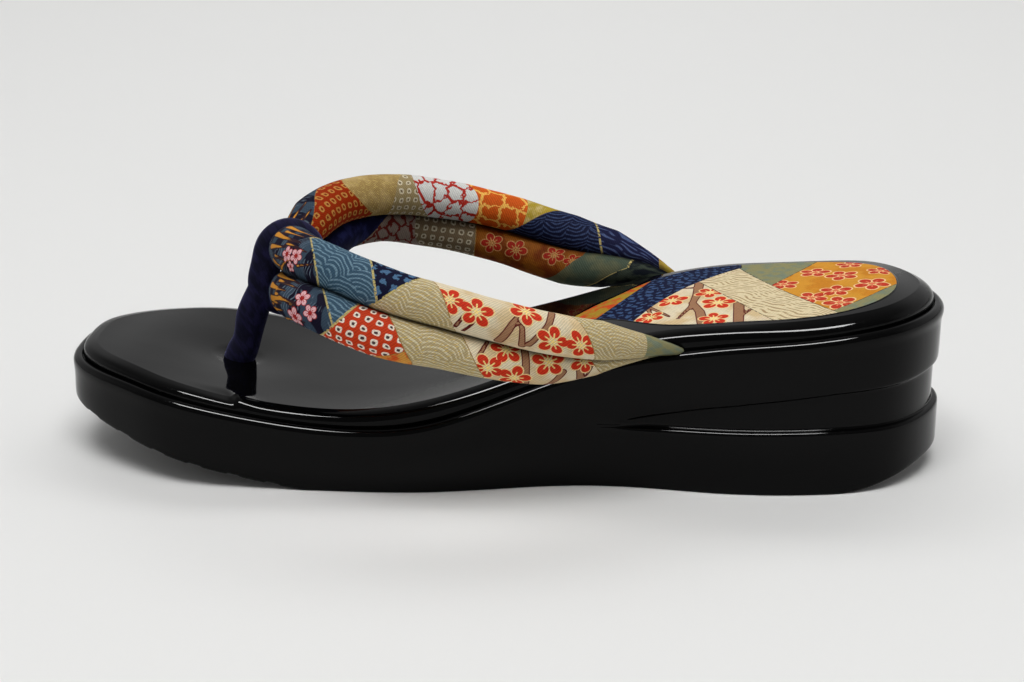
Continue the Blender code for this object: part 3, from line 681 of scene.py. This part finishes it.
def edge_fold(x, y):
    """The pinch beside the toe post: two half bells in x, one low and one high, that fade inwards from the left
    edge along a slant."""
    across = x - FOLD_X - FOLD_SLANT * (FOLD_OUTER_Y - y)
    heel_side = smoothstep(across, FOLD_SOFTNESS, -FOLD_SOFTNESS)
    height = FOLD_TOE_SIDE * hill(across, 0.0, FOLD_TOE_REACH) * (1 - heel_side)
    height = height + FOLD_HEEL_SIDE * hill(across, 0.0, FOLD_HEEL_REACH) * heel_side
    return height * smoothstep(y, FOLD_INNER_Y, FOLD_OUTER_Y)


def bed_top(x, y):
    """The footbed's top, drawn in a little round the toe post."""
    away = np.hypot(x - POST_HOLE_X, y)
    return bed_height(x, y) + edge_fold(x, y) - POST_DENT_DEPTH * (1 - smoothstep(away, *POST_DENT_REACH))


def make_bed(enamel):
    """Rings up the rolled edge as a B-spline, with a crowned lid."""
    def height_of(row):
        def height(x):
            end = smoothstep(x, *ROUND_REAR) + ROUND_TOE_SHARE * hill(x, ROUND_TOE_X, ROUND_TOE_REACH)
            share = row["share"] + (row["end_share"] - row["share"]) * end
            return rim_top(x) + row["fixed"] + share * along_sole(BED_ROWS, "edge", x)
        return height

    rings = np.array([inset_ring(row["inset"], height_of(row)) for row in BED_EDGE])
    rings[..., 2] += BED_EDGE["share"][:, None] * edge_fold(rings[..., 0], rings[..., 1])
    points, *faces = stacked(rounded(rings, BED_RING_STEPS), BED_ACROSS, bed_top,
                             BED_UNDER_ACROSS, lambda x, y: rim_top(x) + BED_EDGE["fixed"][0])
    return make_piece("bed", points, np.vstack(faces), looks=(enamel,))


def make_patch(cloth, edge_enamel_as_gap_shade):
    """The inlay: rings up its edge from under the footbed's top, with a lid; its edge is black enamel, which
    paints the shade in the gap between the inlay and the footbed.
    """
    outline = closed_outline(side_outline(PATCH_ROWS, PATCH_STEPS))
    normals = outward(outline)
    rings = []
    for row in PATCH_EDGE:
        plan = outline - normals * row["inset"]
        rings.append(np.column_stack([plan, bed_height(plan[:, 0], plan[:, 1]) + row["height"]]))
    points, wall, top, bottom = stacked(
        np.array(rings), PATCH_ACROSS, lambda x, y: bed_height(x, y) + PATCH_EDGE["height"][-1],
        PATCH_UNDER_ACROSS, lambda x, y: bed_height(x, y) + PATCH_EDGE["height"][0])
    faces = np.vstack([wall, top, bottom])
    # The wall and the outer band of the top take the black enamel: painted shade along the gap round the inlay.
    look = np.ones(len(faces), int)
    look[len(wall):len(wall) + len(top)] = 0
    return make_piece("inlay", points, faces, looks=(cloth, edge_enamel_as_gap_shade), look_of_face=look,
                      maps=print_maps("inlay", points[faces][..., :2]))


# The straps

def strap_stations():
    """Middles, frames, spacings and radii at stations along the whole horseshoe, right end to left end."""
    def mirrored(rows, flip):
        return np.vstack([rows[:0:-1] * flip, rows])

    route = mirrored(columns(STRAP_ROWS, "x", "y", "z"), np.array([1, -1, 1]))
    rest = mirrored(columns(STRAP_ROWS, "lean_degrees", "roll_spacing", "roll_radius"), 1)
    run = lengths(route)
    at = np.linspace(0.0, run[-1], 2 * STRAP_STEPS + 1)
    middle = spline(run, route, at)
    lean, spacing, radius = (np.interp(at, run, column) for column in rest.T)
    along = np.gradient(middle, at, axis=0)
    along /= np.linalg.norm(along, axis=1)[:, None]
    outwards = np.cross(along, [0.0, 0.0, 1.0])
    outwards /= np.linalg.norm(outwards, axis=1)[:, None]
    upwards = np.cross(outwards, along)
    lean = np.radians(lean)[:, None]
    pair = np.cos(lean) * upwards + np.sin(lean) * outwards
    face = np.cos(lean) * outwards - np.sin(lean) * upwards
    return at - run[-1] / 2, middle, pair, face, spacing, radius


def make_straps(looks):
    """Two circles that meet in a crease, carried along the horseshoe, with slow sines for the padding's lumps.
    The looks go to the rolls in the order of TRACKS."""
    at, middle, pair, face, spacing, radius = strap_stations()
    crease = np.arccos(np.minimum(0.999, spacing / 2 / radius))
    share = np.arange(ROLL_STEPS + 1) / ROLL_STEPS * 2 - 1
    turn = (math.pi - crease)[:, None] * share
    rolls = []
    for sign in (1, -1):
        steps = at[:, None] / PAD_LUMP_STEP
        lumps = np.sin(steps + 2 * sign) * np.sin(1.5 * turn + steps * PAD_LUMP_TWIST)
        lump_radius = radius[:, None] + PAD_LUMPS * lumps * np.cos(share * math.pi / 2)
        out = sign * lump_radius * np.sin(turn)
        up = sign * (spacing[:, None] / 2 + lump_radius * np.cos(turn))
        rolls.append(middle[:, None] + out[..., None] * face[:, None] + up[..., None] * pair[:, None])
    rings = np.concatenate([roll[:, :-1] for roll in rolls], axis=1)
    stations, around = rings.shape[:2]
    points, faces = capped_tube(rings, middle[[0, -1]])
    spots = cells(np.stack([np.broadcast_to(np.abs(at)[:, None], turn.shape), turn * CLOTH_RADIUS], axis=-1))
    dip = (math.pi - crease[:, None] - np.abs(turn)) * radius[:, None]
    dips = cells(np.stack([dip, dip], axis=-1))
    maps = {name: np.full((stations - 1, around, 4, 2), FAR_AWAY) for name in (*MAPS, "crease")}
    for number, track in enumerate(TRACKS):
        left_side, lower = divmod(number, 2)
        kept = slice(left_side * STRAP_STEPS, (left_side + 1) * STRAP_STEPS)
        sides = slice(lower * ROLL_STEPS, (lower + 1) * ROLL_STEPS)
        made = {**print_maps(track, spots[kept].reshape(-1, 4, 2)), "crease": dips[kept]}
        for name, values in made.items():
            maps[name][kept, sides] = values.reshape(STRAP_STEPS, ROLL_STEPS, 4, 2)
    look = np.arange(stations - 1)[:, None] // STRAP_STEPS * 2 + np.arange(around) // ROLL_STEPS
    look = np.concatenate([look.ravel(), np.zeros(around, int), np.full(around, 2)])
    plain = np.full((2 * around, 4, 2), FAR_AWAY)
    maps = {name: np.concatenate([values.reshape(-1, 4, 2), plain])[:, ::-1] for name, values in maps.items()}
    return make_piece("thong", points, faces[:, ::-1], looks=looks, look_of_face=look, maps=maps,
                      crease_degrees=70)


# The toe post

def oval_rings(path, along, halves):
    """Ovals across a path in the middle plane: each point is the path's, plus cos across and sin sideways."""
    side = np.stack([along[:, 1], -along[:, 0]], axis=1)
    side /= np.linalg.norm(side, axis=1)[:, None]
    turn = np.linspace(0.0, 2 * math.pi, POST_SIDES, endpoint=False)
    out = halves[:, :1] * np.cos(turn)
    aside = halves[:, 1:] * np.sin(turn)
    return np.stack([path[:, :1] + side[:, :1] * out, aside, path[:, 1:] + side[:, 1:] * out], -1)


def oval_path(rows, first, last, steps):
    """Even places on a spline from one row to another, and the oval's half sizes there."""
    knots = columns(rows, "x", "z")
    run = lengths(knots)
    at = np.linspace(run[first], run[last], steps)
    return spline(run, knots, at), spline(run, columns(rows, "half_length", "half_width"), at)


def make_stem(velvet):
    path, halves = oval_path(POST_ROWS, 0, -1, POST_STEPS)
    rings = oval_rings(path, np.gradient(path, axis=0), halves)
    points, faces = capped_tube(rings, np.insert(path[[0, -1]], 1, 0.0, axis=1))
    return make_piece("stem", points, faces, looks=(velvet,))


def make_loop(velvet):
    """The loop's rows, wrapped so that the spline runs on evenly where it closes."""
    wrapped = np.concatenate([LOOP_ROWS[-3:], LOOP_ROWS, LOOP_ROWS[:4]])
    path, halves = (row[:-1] for row in oval_path(wrapped, 3, 3 + len(LOOP_ROWS), LOOP_STEPS + 1))
    rings = oval_rings(path, np.roll(path, -1, axis=0) - np.roll(path, 1, axis=0), halves)
    numbers = np.arange(LOOP_STEPS * POST_SIDES).reshape(LOOP_STEPS, -1)
    faces = tube(np.vstack([numbers, numbers[:1]]))
    return make_piece("loop", rings.reshape(-1, 3), faces, looks=(velvet,))


# Formulas as nodes

def join(value, slot):
    """Links a wire to a slot, or sets the slot to a plain value."""
    if isinstance(value, Wire):
        slot.id_data.links.new(value.socket, slot)
    else:
        slot.default_value = value


class Wire:
    """A number or colour carried by a socket; sums written with it become Math nodes."""

    def __init__(self, socket):
        self.socket = socket

    def node(self, kind):
        return self.socket.id_data.nodes.new(kind)

    def math(self, operation, *others):
        made = self.node("ShaderNodeMath")
        made.operation = operation
        for value, slot in zip((self, *others), made.inputs):
            join(value, slot)
        return Wire(made.outputs[0])

    def __add__(self, other):
        return self.math("ADD", other)

    def __sub__(self, other):
        return self.math("SUBTRACT", other)

    def __mul__(self, other):
        return self.math("MULTIPLY", other)

    def __truediv__(self, other):
        return self.math("DIVIDE", other)


def grow(wire, kind, settings, inputs):
    """A new node in a wire's tree, with its settings and its inputs."""
    made = wire.node(kind)
    for name, value in settings.items():
        setattr(made, name, value)
    for slot, value in inputs.items():
        join(value, made.inputs[slot])
    return made


def rise(value, start, end):
    """0 at start, 1 at end, smooth between."""
    return Wire(grow(value, "ShaderNodeMapRange", {"interpolation_type": "SMOOTHSTEP"},
                     {"Value": value, "From Min": start, "From Max": end}).outputs[0])


def paint(under, over, mask):
    """One colour over another where the mask is 1."""
    return Wire(grow(mask, "ShaderNodeMix", {"data_type": "RGBA"}, {0: mask, 6: under, 7: over}).outputs[2])


def shade(colour, factor):
    """A colour made darker or lighter by a factor."""
    return Wire(grow(colour, "ShaderNodeVectorMath", {"operation": "SCALE"},
                     {0: colour, "Scale": factor}).outputs[0])


def spot(along, across):
    return Wire(grow(along, "ShaderNodeCombineXYZ", {}, {0: along, 1: across}).outputs[0])


def cloud(along, across, detail=1.0):
    """Soft noise from 0 to 1 with lumps about 1 across."""
    return Wire(grow(along, "ShaderNodeTexNoise", {"noise_dimensions": "2D"},
                     {"Vector": spot(along, across), "Scale": 1.0, "Detail": detail}).outputs[0])


def drift(along, across, size, reach):
    """A slow wander from side to side, by up to half the reach."""
    return (cloud(along / size, across / size) - 0.5) * reach


def scattered(along, across, feature, spread):
    return grow(along, "ShaderNodeTexVoronoi", {"voronoi_dimensions": "2D", "feature": feature},
                {"Vector": spot(along, across), "Scale": 1.0, "Randomness": spread})


def scatter(along, across, feature, spread=1.0):
    """The distance to the nearest of scattered points about 1 apart, or to the edge between two."""
    return Wire(scattered(along, across, feature, spread).outputs["Distance"])


def coordinates(socket):
    """The three coordinates that a socket carries."""
    split = grow(Wire(socket), "ShaderNodeSeparateXYZ", {}, {0: Wire(socket)})
    return [Wire(part) for part in split.outputs]


def cell_middle(along, across):
    """The nearest of scattered points about 1 apart."""
    return coordinates(scattered(along, across, "F1", 1.0).outputs["Position"])


def ripple(value, pitch):
    """A sine that repeats once every pitch."""
    return (value / pitch * (2 * math.pi)).math("SINE")


def middled(value, pitch):
    """The distance from the middle of a repeat, from -0.5 to 0.5 of the pitch."""
    return (value / pitch).math("FRACT") - 0.5


# The print's motifs: each is drawn once in a group, and is placed with its own inks and sizes

def draw_mottle(along, across, size, ground, second):
    """Two inks that run into each other in soft clouds."""
    return (paint(ground, second, rise(cloud(along / size, across / size, detail=3.0), 0.4, 0.66)),)


def draw_fans(along, across, cell, pitch, ground, line):
    """Overlapping fans: in each scattered cell, arcs at even steps of the distance from a place to one side."""
    sway = drift(along, across, size=5.0, reach=1.6)
    place = (along + sway) / cell, (across - sway) / cell
    middle = cell_middle(*place)
    aside, ahead = place[0] - middle[0] + 0.2, place[1] - middle[1] - 0.85
    away = (aside * aside + ahead * ahead).math("SQRT") * cell
    thread = rise(cloud(along / 0.8, across / 0.8), 0.3, 0.5) * 0.5 + 0.5
    return (paint(ground, line, rise(ripple(away, pitch), 0.0, 0.8) * thread),)


def draw_petals(along, across, cell, width, ground, edge):
    """Scattered cells with wavy inked edges, and faint veins inside."""
    wave = drift(along, across, size=1.6, reach=2.3)
    away = scatter((along + wave) / cell, (across - wave) / cell, "DISTANCE_TO_EDGE", 0.8) * cell
    veined = shade(ground, ripple(away, 0.9) * 0.05 + 0.95)
    return (paint(edge, veined, rise(away, width, width + 0.22)),)


def draw_rings(along, across, pitch, ground, ring, eye):
    """Tie-dyed rings on a square grid: |x|^3 + |y|^3 of the place within a repeat, cut at two heights."""
    wave = drift(along, across, size=3.0, reach=0.9)
    side = middled(along + wave, pitch).math("ABSOLUTE").math("POWER", 3.0)
    height = middled(across - wave, pitch).math("ABSOLUTE").math("POWER", 3.0)
    size = side + height
    ringed = paint(ground, ring, rise(size, 0.034, 0.022))
    return (paint(ringed, eye, rise(size, 0.0042, 0.0016)),)


def draw_sway(along, across, pitch, slant, ground, line):
    """Swaying strokes: a sine across a slant, bent by large clouds and broken by small ones."""
    bend = drift(along, across, size=11.0, reach=11.0)
    broken = rise(cloud(along / 4.0, across / 1.6), 0.36, 0.5)
    return (paint(ground, line, rise(ripple(across + along * slant + bend, pitch), 0.1, 0.8) * broken),)


def draw_blocks(along, across, pitch, ground, block, line):
    """Upright blocks of two blues with running water in thin lines."""
    bend = drift(along, across, size=6.0, reach=5.0)
    blocks = paint(ground, block, rise(ripple(along + bend, pitch), -0.25, 0.05))
    water = rise(ripple(along + bend + across * 0.2, 1.1), 0.45, 0.9)
    return (paint(blocks, line, water * rise(cloud(along / 7.0, across / 7.0, detail=2.0), 0.5, 0.58)),)


def draw_stroke(under, distance, fill, outline):
    """An outlined stroke, from the distance to its edge."""
    drawn = paint(under, outline, rise(distance, 0.2, 0.08))
    return (paint(drawn, fill, rise(distance, -0.08, -0.22)),)


# A petal's oval and where its tip is nicked, as shares of the blossom's radius.
PETAL_MIDDLE, PETAL_HALF_LENGTH, PETAL_HALF_WIDTH, PETAL_NICK = 0.62, 0.36, 0.31, 0.86


def draw_plum(under, bloom_x, bloom_y, petal, rim, star):
    """A blossom: each fifth of a turn is folded onto one petal, an oval with a nick in its tip."""
    fifth = 2 * math.pi / 5
    turn = middled(bloom_y.math("ARCTAN2", bloom_x), fifth) * fifth
    away = (bloom_x * bloom_x + bloom_y * bloom_y).math("SQRT")
    outwards = away * turn.math("COSINE")
    aside = (away * turn.math("SINE")).math("ABSOLUTE")
    ahead = (outwards - PETAL_MIDDLE) / PETAL_HALF_LENGTH
    oval = ahead.math("POWER", 2.0) + (aside / PETAL_HALF_WIDTH).math("POWER", 2.0)
    nick = aside * 1.3 - outwards + PETAL_NICK
    shape = oval.math("MAXIMUM", nick * -2.2 + 0.8)
    drawn = paint(under, rim, rise(shape, 1.75, 1.45))
    drawn = paint(drawn, petal, rise(shape, 1.12, 0.92))
    rays = rise(aside, 0.06, 0.03) * rise(outwards, 0.6, 0.5)
    return (paint(drawn, star, rays.math("MAXIMUM", rise(away, 0.14, 0.09))),)


def draw_gold_thread(under, along, across, gold):
    """Short floats of gold thread: a fine ripple broken up by clouds."""
    floats = rise(ripple(along * 0.5 + across * 0.86, 0.7), 0.3, 0.9)
    return (paint(under, gold, floats * rise(cloud(along / 1.1, across / 1.1), 0.48, 0.62)),)


def draw_weave(under, along, across):
    """Crepe: slanting ribs and finer crossing threads, uneven, which tint the inks and raise the surface."""
    rough = cloud(along / 1.4, across / 1.4, detail=2.0)
    ribs = ripple(along * 0.82 + across * 0.57 + rough * 0.35, 0.62)
    threads = ripple(along * -0.45 + across * 0.89 + rough * 0.25, 0.5)
    tint = ribs * 0.13 + threads * 0.08 + rough * 0.16 + 0.88
    return shade(under, tint), ribs * 0.6 + threads * 0.35 + rough * 0.6


# What draws each motif, what it is laid out by, and its sizes, inks and maps.
MOTIFS = {
    "mottle": (draw_mottle, ("along", "across"), ("size", "ground", "second")),
    "fans": (draw_fans, ("along", "across"), ("cell", "pitch", "ground", "line")),
    "petals": (draw_petals, ("along", "across"), ("cell", "width", "ground", "edge")),
    "rings": (draw_rings, ("along", "across"), ("pitch", "ground", "ring", "eye")),
    "sway": (draw_sway, ("along", "across"), ("pitch", "slant", "ground", "line")),
    "blocks": (draw_blocks, ("along", "across"), ("pitch", "ground", "block", "line")),
    "stroke": (draw_stroke, ("under",), ("distance", "fill", "outline")),
    "plum": (draw_plum, ("under", "bloom x", "bloom y"), ("petal", "rim", "star")),
    "gold thread": (draw_gold_thread, ("under", "along", "across"), ("gold",)),
    "weave": (draw_weave, ("under", "along", "across"), ()),
}
NUMBERS = {"along", "across", "bloom x", "bloom y", "distance", "size", "cell", "width", "pitch", "slant"}


def make_motifs():
    """One node group for each motif: a colour out, and for the weave a height too."""
    for name, (draw, places, values) in MOTIFS.items():
        group = bpy.data.node_groups.new(name, "ShaderNodeTree")
        labels = places + values
        for label in labels:
            kind = "NodeSocketFloat" if label in NUMBERS else "NodeSocketColor"
            group.interface.new_socket(label, in_out="INPUT", socket_type=kind)
        group.interface.new_socket("colour", in_out="OUTPUT", socket_type="NodeSocketColor")
        if name == "weave":
            group.interface.new_socket("height", in_out="OUTPUT", socket_type="NodeSocketFloat")
        entry = group.nodes.new("NodeGroupInput")
        leaving = group.nodes.new("NodeGroupOutput")
        for drawn, slot in zip(draw(*(Wire(entry.outputs[label]) for label in labels)), leaving.inputs):
            join(drawn, slot)


def place_motif(tree, name, given):
    """A motif's group in a material, with the given wires, inks and sizes on its sockets."""
    made = tree.nodes.new("ShaderNodeGroup")
    made.node_tree = bpy.data.node_groups[name]
    for slot in made.inputs:
        if slot.name in given:
            join(given[slot.name], slot)
    return made


def place_fill(tree, name, spots):
    """A patch's motifs, each over the one before."""
    colour = None
    for motif, *values in FILLS[name]:
        given = dict(spots)
        for label, value in zip(MOTIFS[motif][2], values):
            if isinstance(value, str):
                value = spots[value]
            elif isinstance(value, tuple):
                value = ink(*value)
            given[label] = value
        if colour is not None:
            given["under"] = colour
        colour = Wire(place_motif(tree, motif, given).outputs["colour"])
    return colour


def patchwork(tree, track, spots):
    """Patches in order, each from its seam on: the seam is a parabola along(across) through its places."""
    colour = None
    worn = rise(cloud(spots["along"] / 0.9, spots["across"] / 0.9), 0.34, 0.46)
    for fill, seam, line in PATCHES[track]:
        made = place_fill(tree, fill, spots)
        if colour is None:
            colour = made
            continue
        along, across = np.array(seam).T
        square, slope, start = (0.0, 0.0, 0.0, *np.polyfit(across, along, len(seam) - 1))[-3:]
        reach = spots["across"].math("MAXIMUM", float(across.min()) - SEAM_REACH)
        reach = reach.math("MINIMUM", float(across.max()) + SEAM_REACH)
        past = spots["along"] - (reach * (reach * float(square) + float(slope)) + float(start))
        colour = paint(colour, made, rise(past, -0.06, 0.06))
        if line is not None:
            thread, half_width = line
            sewn = rise(past.math("ABSOLUTE"), half_width + 0.08, half_width - 0.08)
            colour = paint(colour, thread, sewn * worn)
    return colour


# Looks

def principled(name, colour, roughness, others):
    made = bpy.data.materials.new(name)
    made.use_nodes = True
    shader = made.node_tree.nodes["Principled BSDF"]
    for slot, value in {"Base Color": (*colour, 1.0), "Roughness": roughness, **others}.items():
        shader.inputs[slot].default_value = value
    return made, shader


def map_wires(tree, map_name):
    """The two coordinates of a piece's map."""
    read = tree.nodes.new("ShaderNodeUVMap")
    read.uv_map = map_name
    return coordinates(read.outputs[0])[:2]


def object_wires(tree):
    """The place on the object in millimetres, as three wires."""
    read = tree.nodes.new("ShaderNodeTexCoord")
    return [part * 1000.0 for part in coordinates(read.outputs["Object"])]


def raise_surface(shader, height, scale):
    """Bumps a shader's normal by a height whose unit is this many millimetres."""
    bump = height.node("ShaderNodeBump")
    bump.inputs["Strength"].default_value = 1.0
    bump.inputs["Distance"].default_value = scale * MM
    join(height, bump.inputs["Height"])
    join(Wire(bump.outputs[0]), shader.inputs["Normal"])


def black_enamel():
    """Black enamel film: nearly no colour of its own, faintly wavy, with a trace of dust in its gloss."""
    made, shader = principled("black enamel", (0.0012, 0.0012, 0.0013), 0.06, {"IOR": 1.2})
    x, y, z = object_wires(made.node_tree)
    raise_surface(shader, cloud(x / 14.0, (y + z) / 11.0), 0.04)
    dust = rise(cloud(x / 0.9, (y + z * 1.3) / 0.9, detail=3.0), 0.52, 0.78)
    join(dust * 0.10 + 0.05, shader.inputs["Roughness"])
    return made


def tread_rubber():
    """Matt black rubber, finely pebbled."""
    made, shader = principled("tread rubber", (0.006, 0.006, 0.006), 0.5, {})
    x, y, _ = object_wires(made.node_tree)
    raise_surface(shader, scatter(x / 1.1, y / 1.1, "F1"), 0.15)
    return made


def printed_cloth(track):
    made, shader = principled(track + " print", (0.5, 0.35, 0.2), 0.72, {"Specular IOR Level": 0.02})
    tree = made.node_tree
    spots = {}
    for map_name, names in MAPS.items():
        spots.update(zip(names, map_wires(tree, map_name)))
    weave = place_motif(tree, "weave", {**spots, "under": patchwork(tree, track, spots)})
    colour = Wire(weave.outputs["colour"])
    # Painted shade: on the straps the print darkens towards the crease between the rolls, where shade falls.
    if track != "inlay":
        crease = map_wires(tree, "crease")[0]
        colour = shade(colour, rise(crease, 0.0, PAINTED_CREASE_SHADE_REACH) * (1 - PAINTED_CREASE_SHADE) + PAINTED_CREASE_SHADE)
    join(colour, shader.inputs["Base Color"])
    raise_surface(shader, Wire(weave.outputs["height"]), 0.035)
    return made


def navy_velvet():
    """Navy velvet: short nap that catches the light at its edges, brushed unevenly."""
    made, shader = principled("navy velvet", (0.006, 0.006, 0.02), 0.9, {
        "Sheen Weight": 0.4, "Sheen Roughness": 0.35, "Sheen Tint": (0.30, 0.30, 0.62, 1.0),
        "Specular IOR Level": 0.05})
    x, y, z = object_wires(made.node_tree)
    brushed = rise(cloud((x + y) / 2.2, (z - x) / 3.0, detail=3.0), 0.35, 0.7)
    join(paint(ink(12, 12, 32), ink(28, 26, 58), brushed), shader.inputs["Base Color"])
    raise_surface(shader, cloud((x + y) / 0.35, (z + y) / 0.35, detail=2.0), 0.12)
    return made


# Camera, floor and light

CAMERA_PLACE = (-44.12, 523.75, 208.39)
CAMERA_PITCH = math.radians(18.80)
CAMERA_YAW = math.radians(4.538)
CAMERA_LENS = 70.26
PAPER_CURL_DEGREES = 72.0
PAPER_CURL_STEPS = 25


def make_camera():
    level = math.cos(CAMERA_PITCH)
    forward = Vector((math.sin(CAMERA_YAW) * level, -math.cos(CAMERA_YAW) * level, -math.sin(CAMERA_PITCH)))
    right = Vector((-math.cos(CAMERA_YAW), -math.sin(CAMERA_YAW), 0.0))
    up = right.cross(forward)
    lens = bpy.data.cameras.new("camera")
    lens.lens = CAMERA_LENS
    lens.sensor_width = 36.0
    lens.clip_start, lens.clip_end = 0.01, 20.0
    camera = place_object("camera", lens)
    turn = Matrix((right, up, -forward)).transposed()
    camera.matrix_world = Matrix.Translation(Vector(CAMERA_PLACE) * MM) @ turn.to_4x4()
    bpy.context.scene.camera = camera


def make_floor():
    """Paper sweep: a flat floor that curls up behind as part of a circle."""
    front, back, radius, half_width = 1.6, -0.9, 0.5, 2.4
    turn = np.linspace(0.0, math.radians(PAPER_CURL_DEGREES), PAPER_CURL_STEPS)
    y = np.concatenate([[front], back - radius * np.sin(turn)])
    z = np.concatenate([[0.0], radius - radius * np.cos(turn)])
    points = np.array([[(x, b, c) for x in (-half_width, half_width)] for b, c in zip(y, z)])
    numbers = np.arange(points.shape[0] * 2).reshape(-1, 2)
    mesh = bpy.data.meshes.new("paper")
    mesh.from_pydata(points.reshape(-1, 3), [], quads(numbers).tolist())
    mesh.shade_smooth()
    mesh.materials.append(principled("white paper", (0.80, 0.80, 0.79), 0.9, {"Specular IOR Level": 0.1})[0])
    floor = place_object("paper", mesh)
    floor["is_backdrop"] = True


# Each lamp's place and size in metres, its tilt in degrees, its power in watts, and what doesn't show it.
LIGHTS = (
    ("key softbox", (0.0, 0.45, 1.25), 20.0, (0.9, 0.6), 10.0, "visible_glossy"),
    ("paper lamp", (0.0, -1.0, 1.3), 0.0, (1.8, 0.7), 9.0, "visible_glossy"),
    ("edge strip", (0.04, 0.33, 1.25), 0.0, (0.92, 0.3), 60.0, "visible_diffuse"),
)
ROOM_SIDES, ROOM_CEILING, ROOM_CAMERA_SIDE = 0.6, 0.3, 0.22


def area_light(name, place, tilt_degrees, size, power):
    """A softbox that faces down; a positive tilt turns it to face away from the camera."""
    light = bpy.data.lights.new(name, "AREA")
    light.shape = "RECTANGLE"
    light.size, light.size_y = size
    light.energy = power
    lamp = place_object(name, light)
    lamp.location = place
    lamp.rotation_euler = (math.radians(-tilt_degrees), 0.0, 0.0)
    return lamp


def grey(level):
    return (level, level, level, 1.0)


def make_light():
    """A softbox before the shoe and a lamp for the paper, which gloss doesn't show, a strip overhead that only
    gloss shows, and the room: its sides and back are pale, its ceiling and the camera's side are dim."""
    for name, place, tilt, size, power, unseen in LIGHTS:
        setattr(area_light(name, place, tilt, size, power), unseen, False)
    world = bpy.data.worlds.new("room")
    world.use_nodes = True
    tree = world.node_tree
    background = tree.nodes["Background"]
    _, toward_camera, up = coordinates(tree.nodes.new("ShaderNodeTexCoord").outputs["Generated"])
    room = paint(grey(ROOM_SIDES), grey(ROOM_CEILING), rise(up, 0.5, 0.8))
    room = paint(room, grey(ROOM_CAMERA_SIDE), rise(toward_camera, -0.1, 0.45))
    join(room, background.inputs["Color"])
    background.inputs["Strength"].default_value = 1.0
    bpy.context.scene.world = world
    bpy.context.scene.view_settings.view_transform = "Standard"


def dress():
    make_motifs()
    enamel = black_enamel()
    velvet = navy_velvet()
    sole = make_sole(enamel, tread_rubber())
    bed = make_bed(enamel)
    inlay = make_patch(printed_cloth("inlay"), enamel)
    thong = make_straps([printed_cloth(track) for track in TRACKS])
    stem = make_stem(velvet)
    loop = make_loop(velvet)
    for piece, node, slot in (
            (sole, "sole_unit", "black_enamel"),
            (bed, "footbed", "black_enamel"),
            (inlay, "heel_patch", "printed_cloth"),
            (thong, "straps", "printed_cloth"),
            (stem, "toe_post", "navy_velvet"),
            (loop, "toe_post", "navy_velvet")):
        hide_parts(node)


dress()
make_camera()
make_floor()
make_light()
[[list(corner) for corner in box] for box in (MODEL_BOX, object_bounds())]
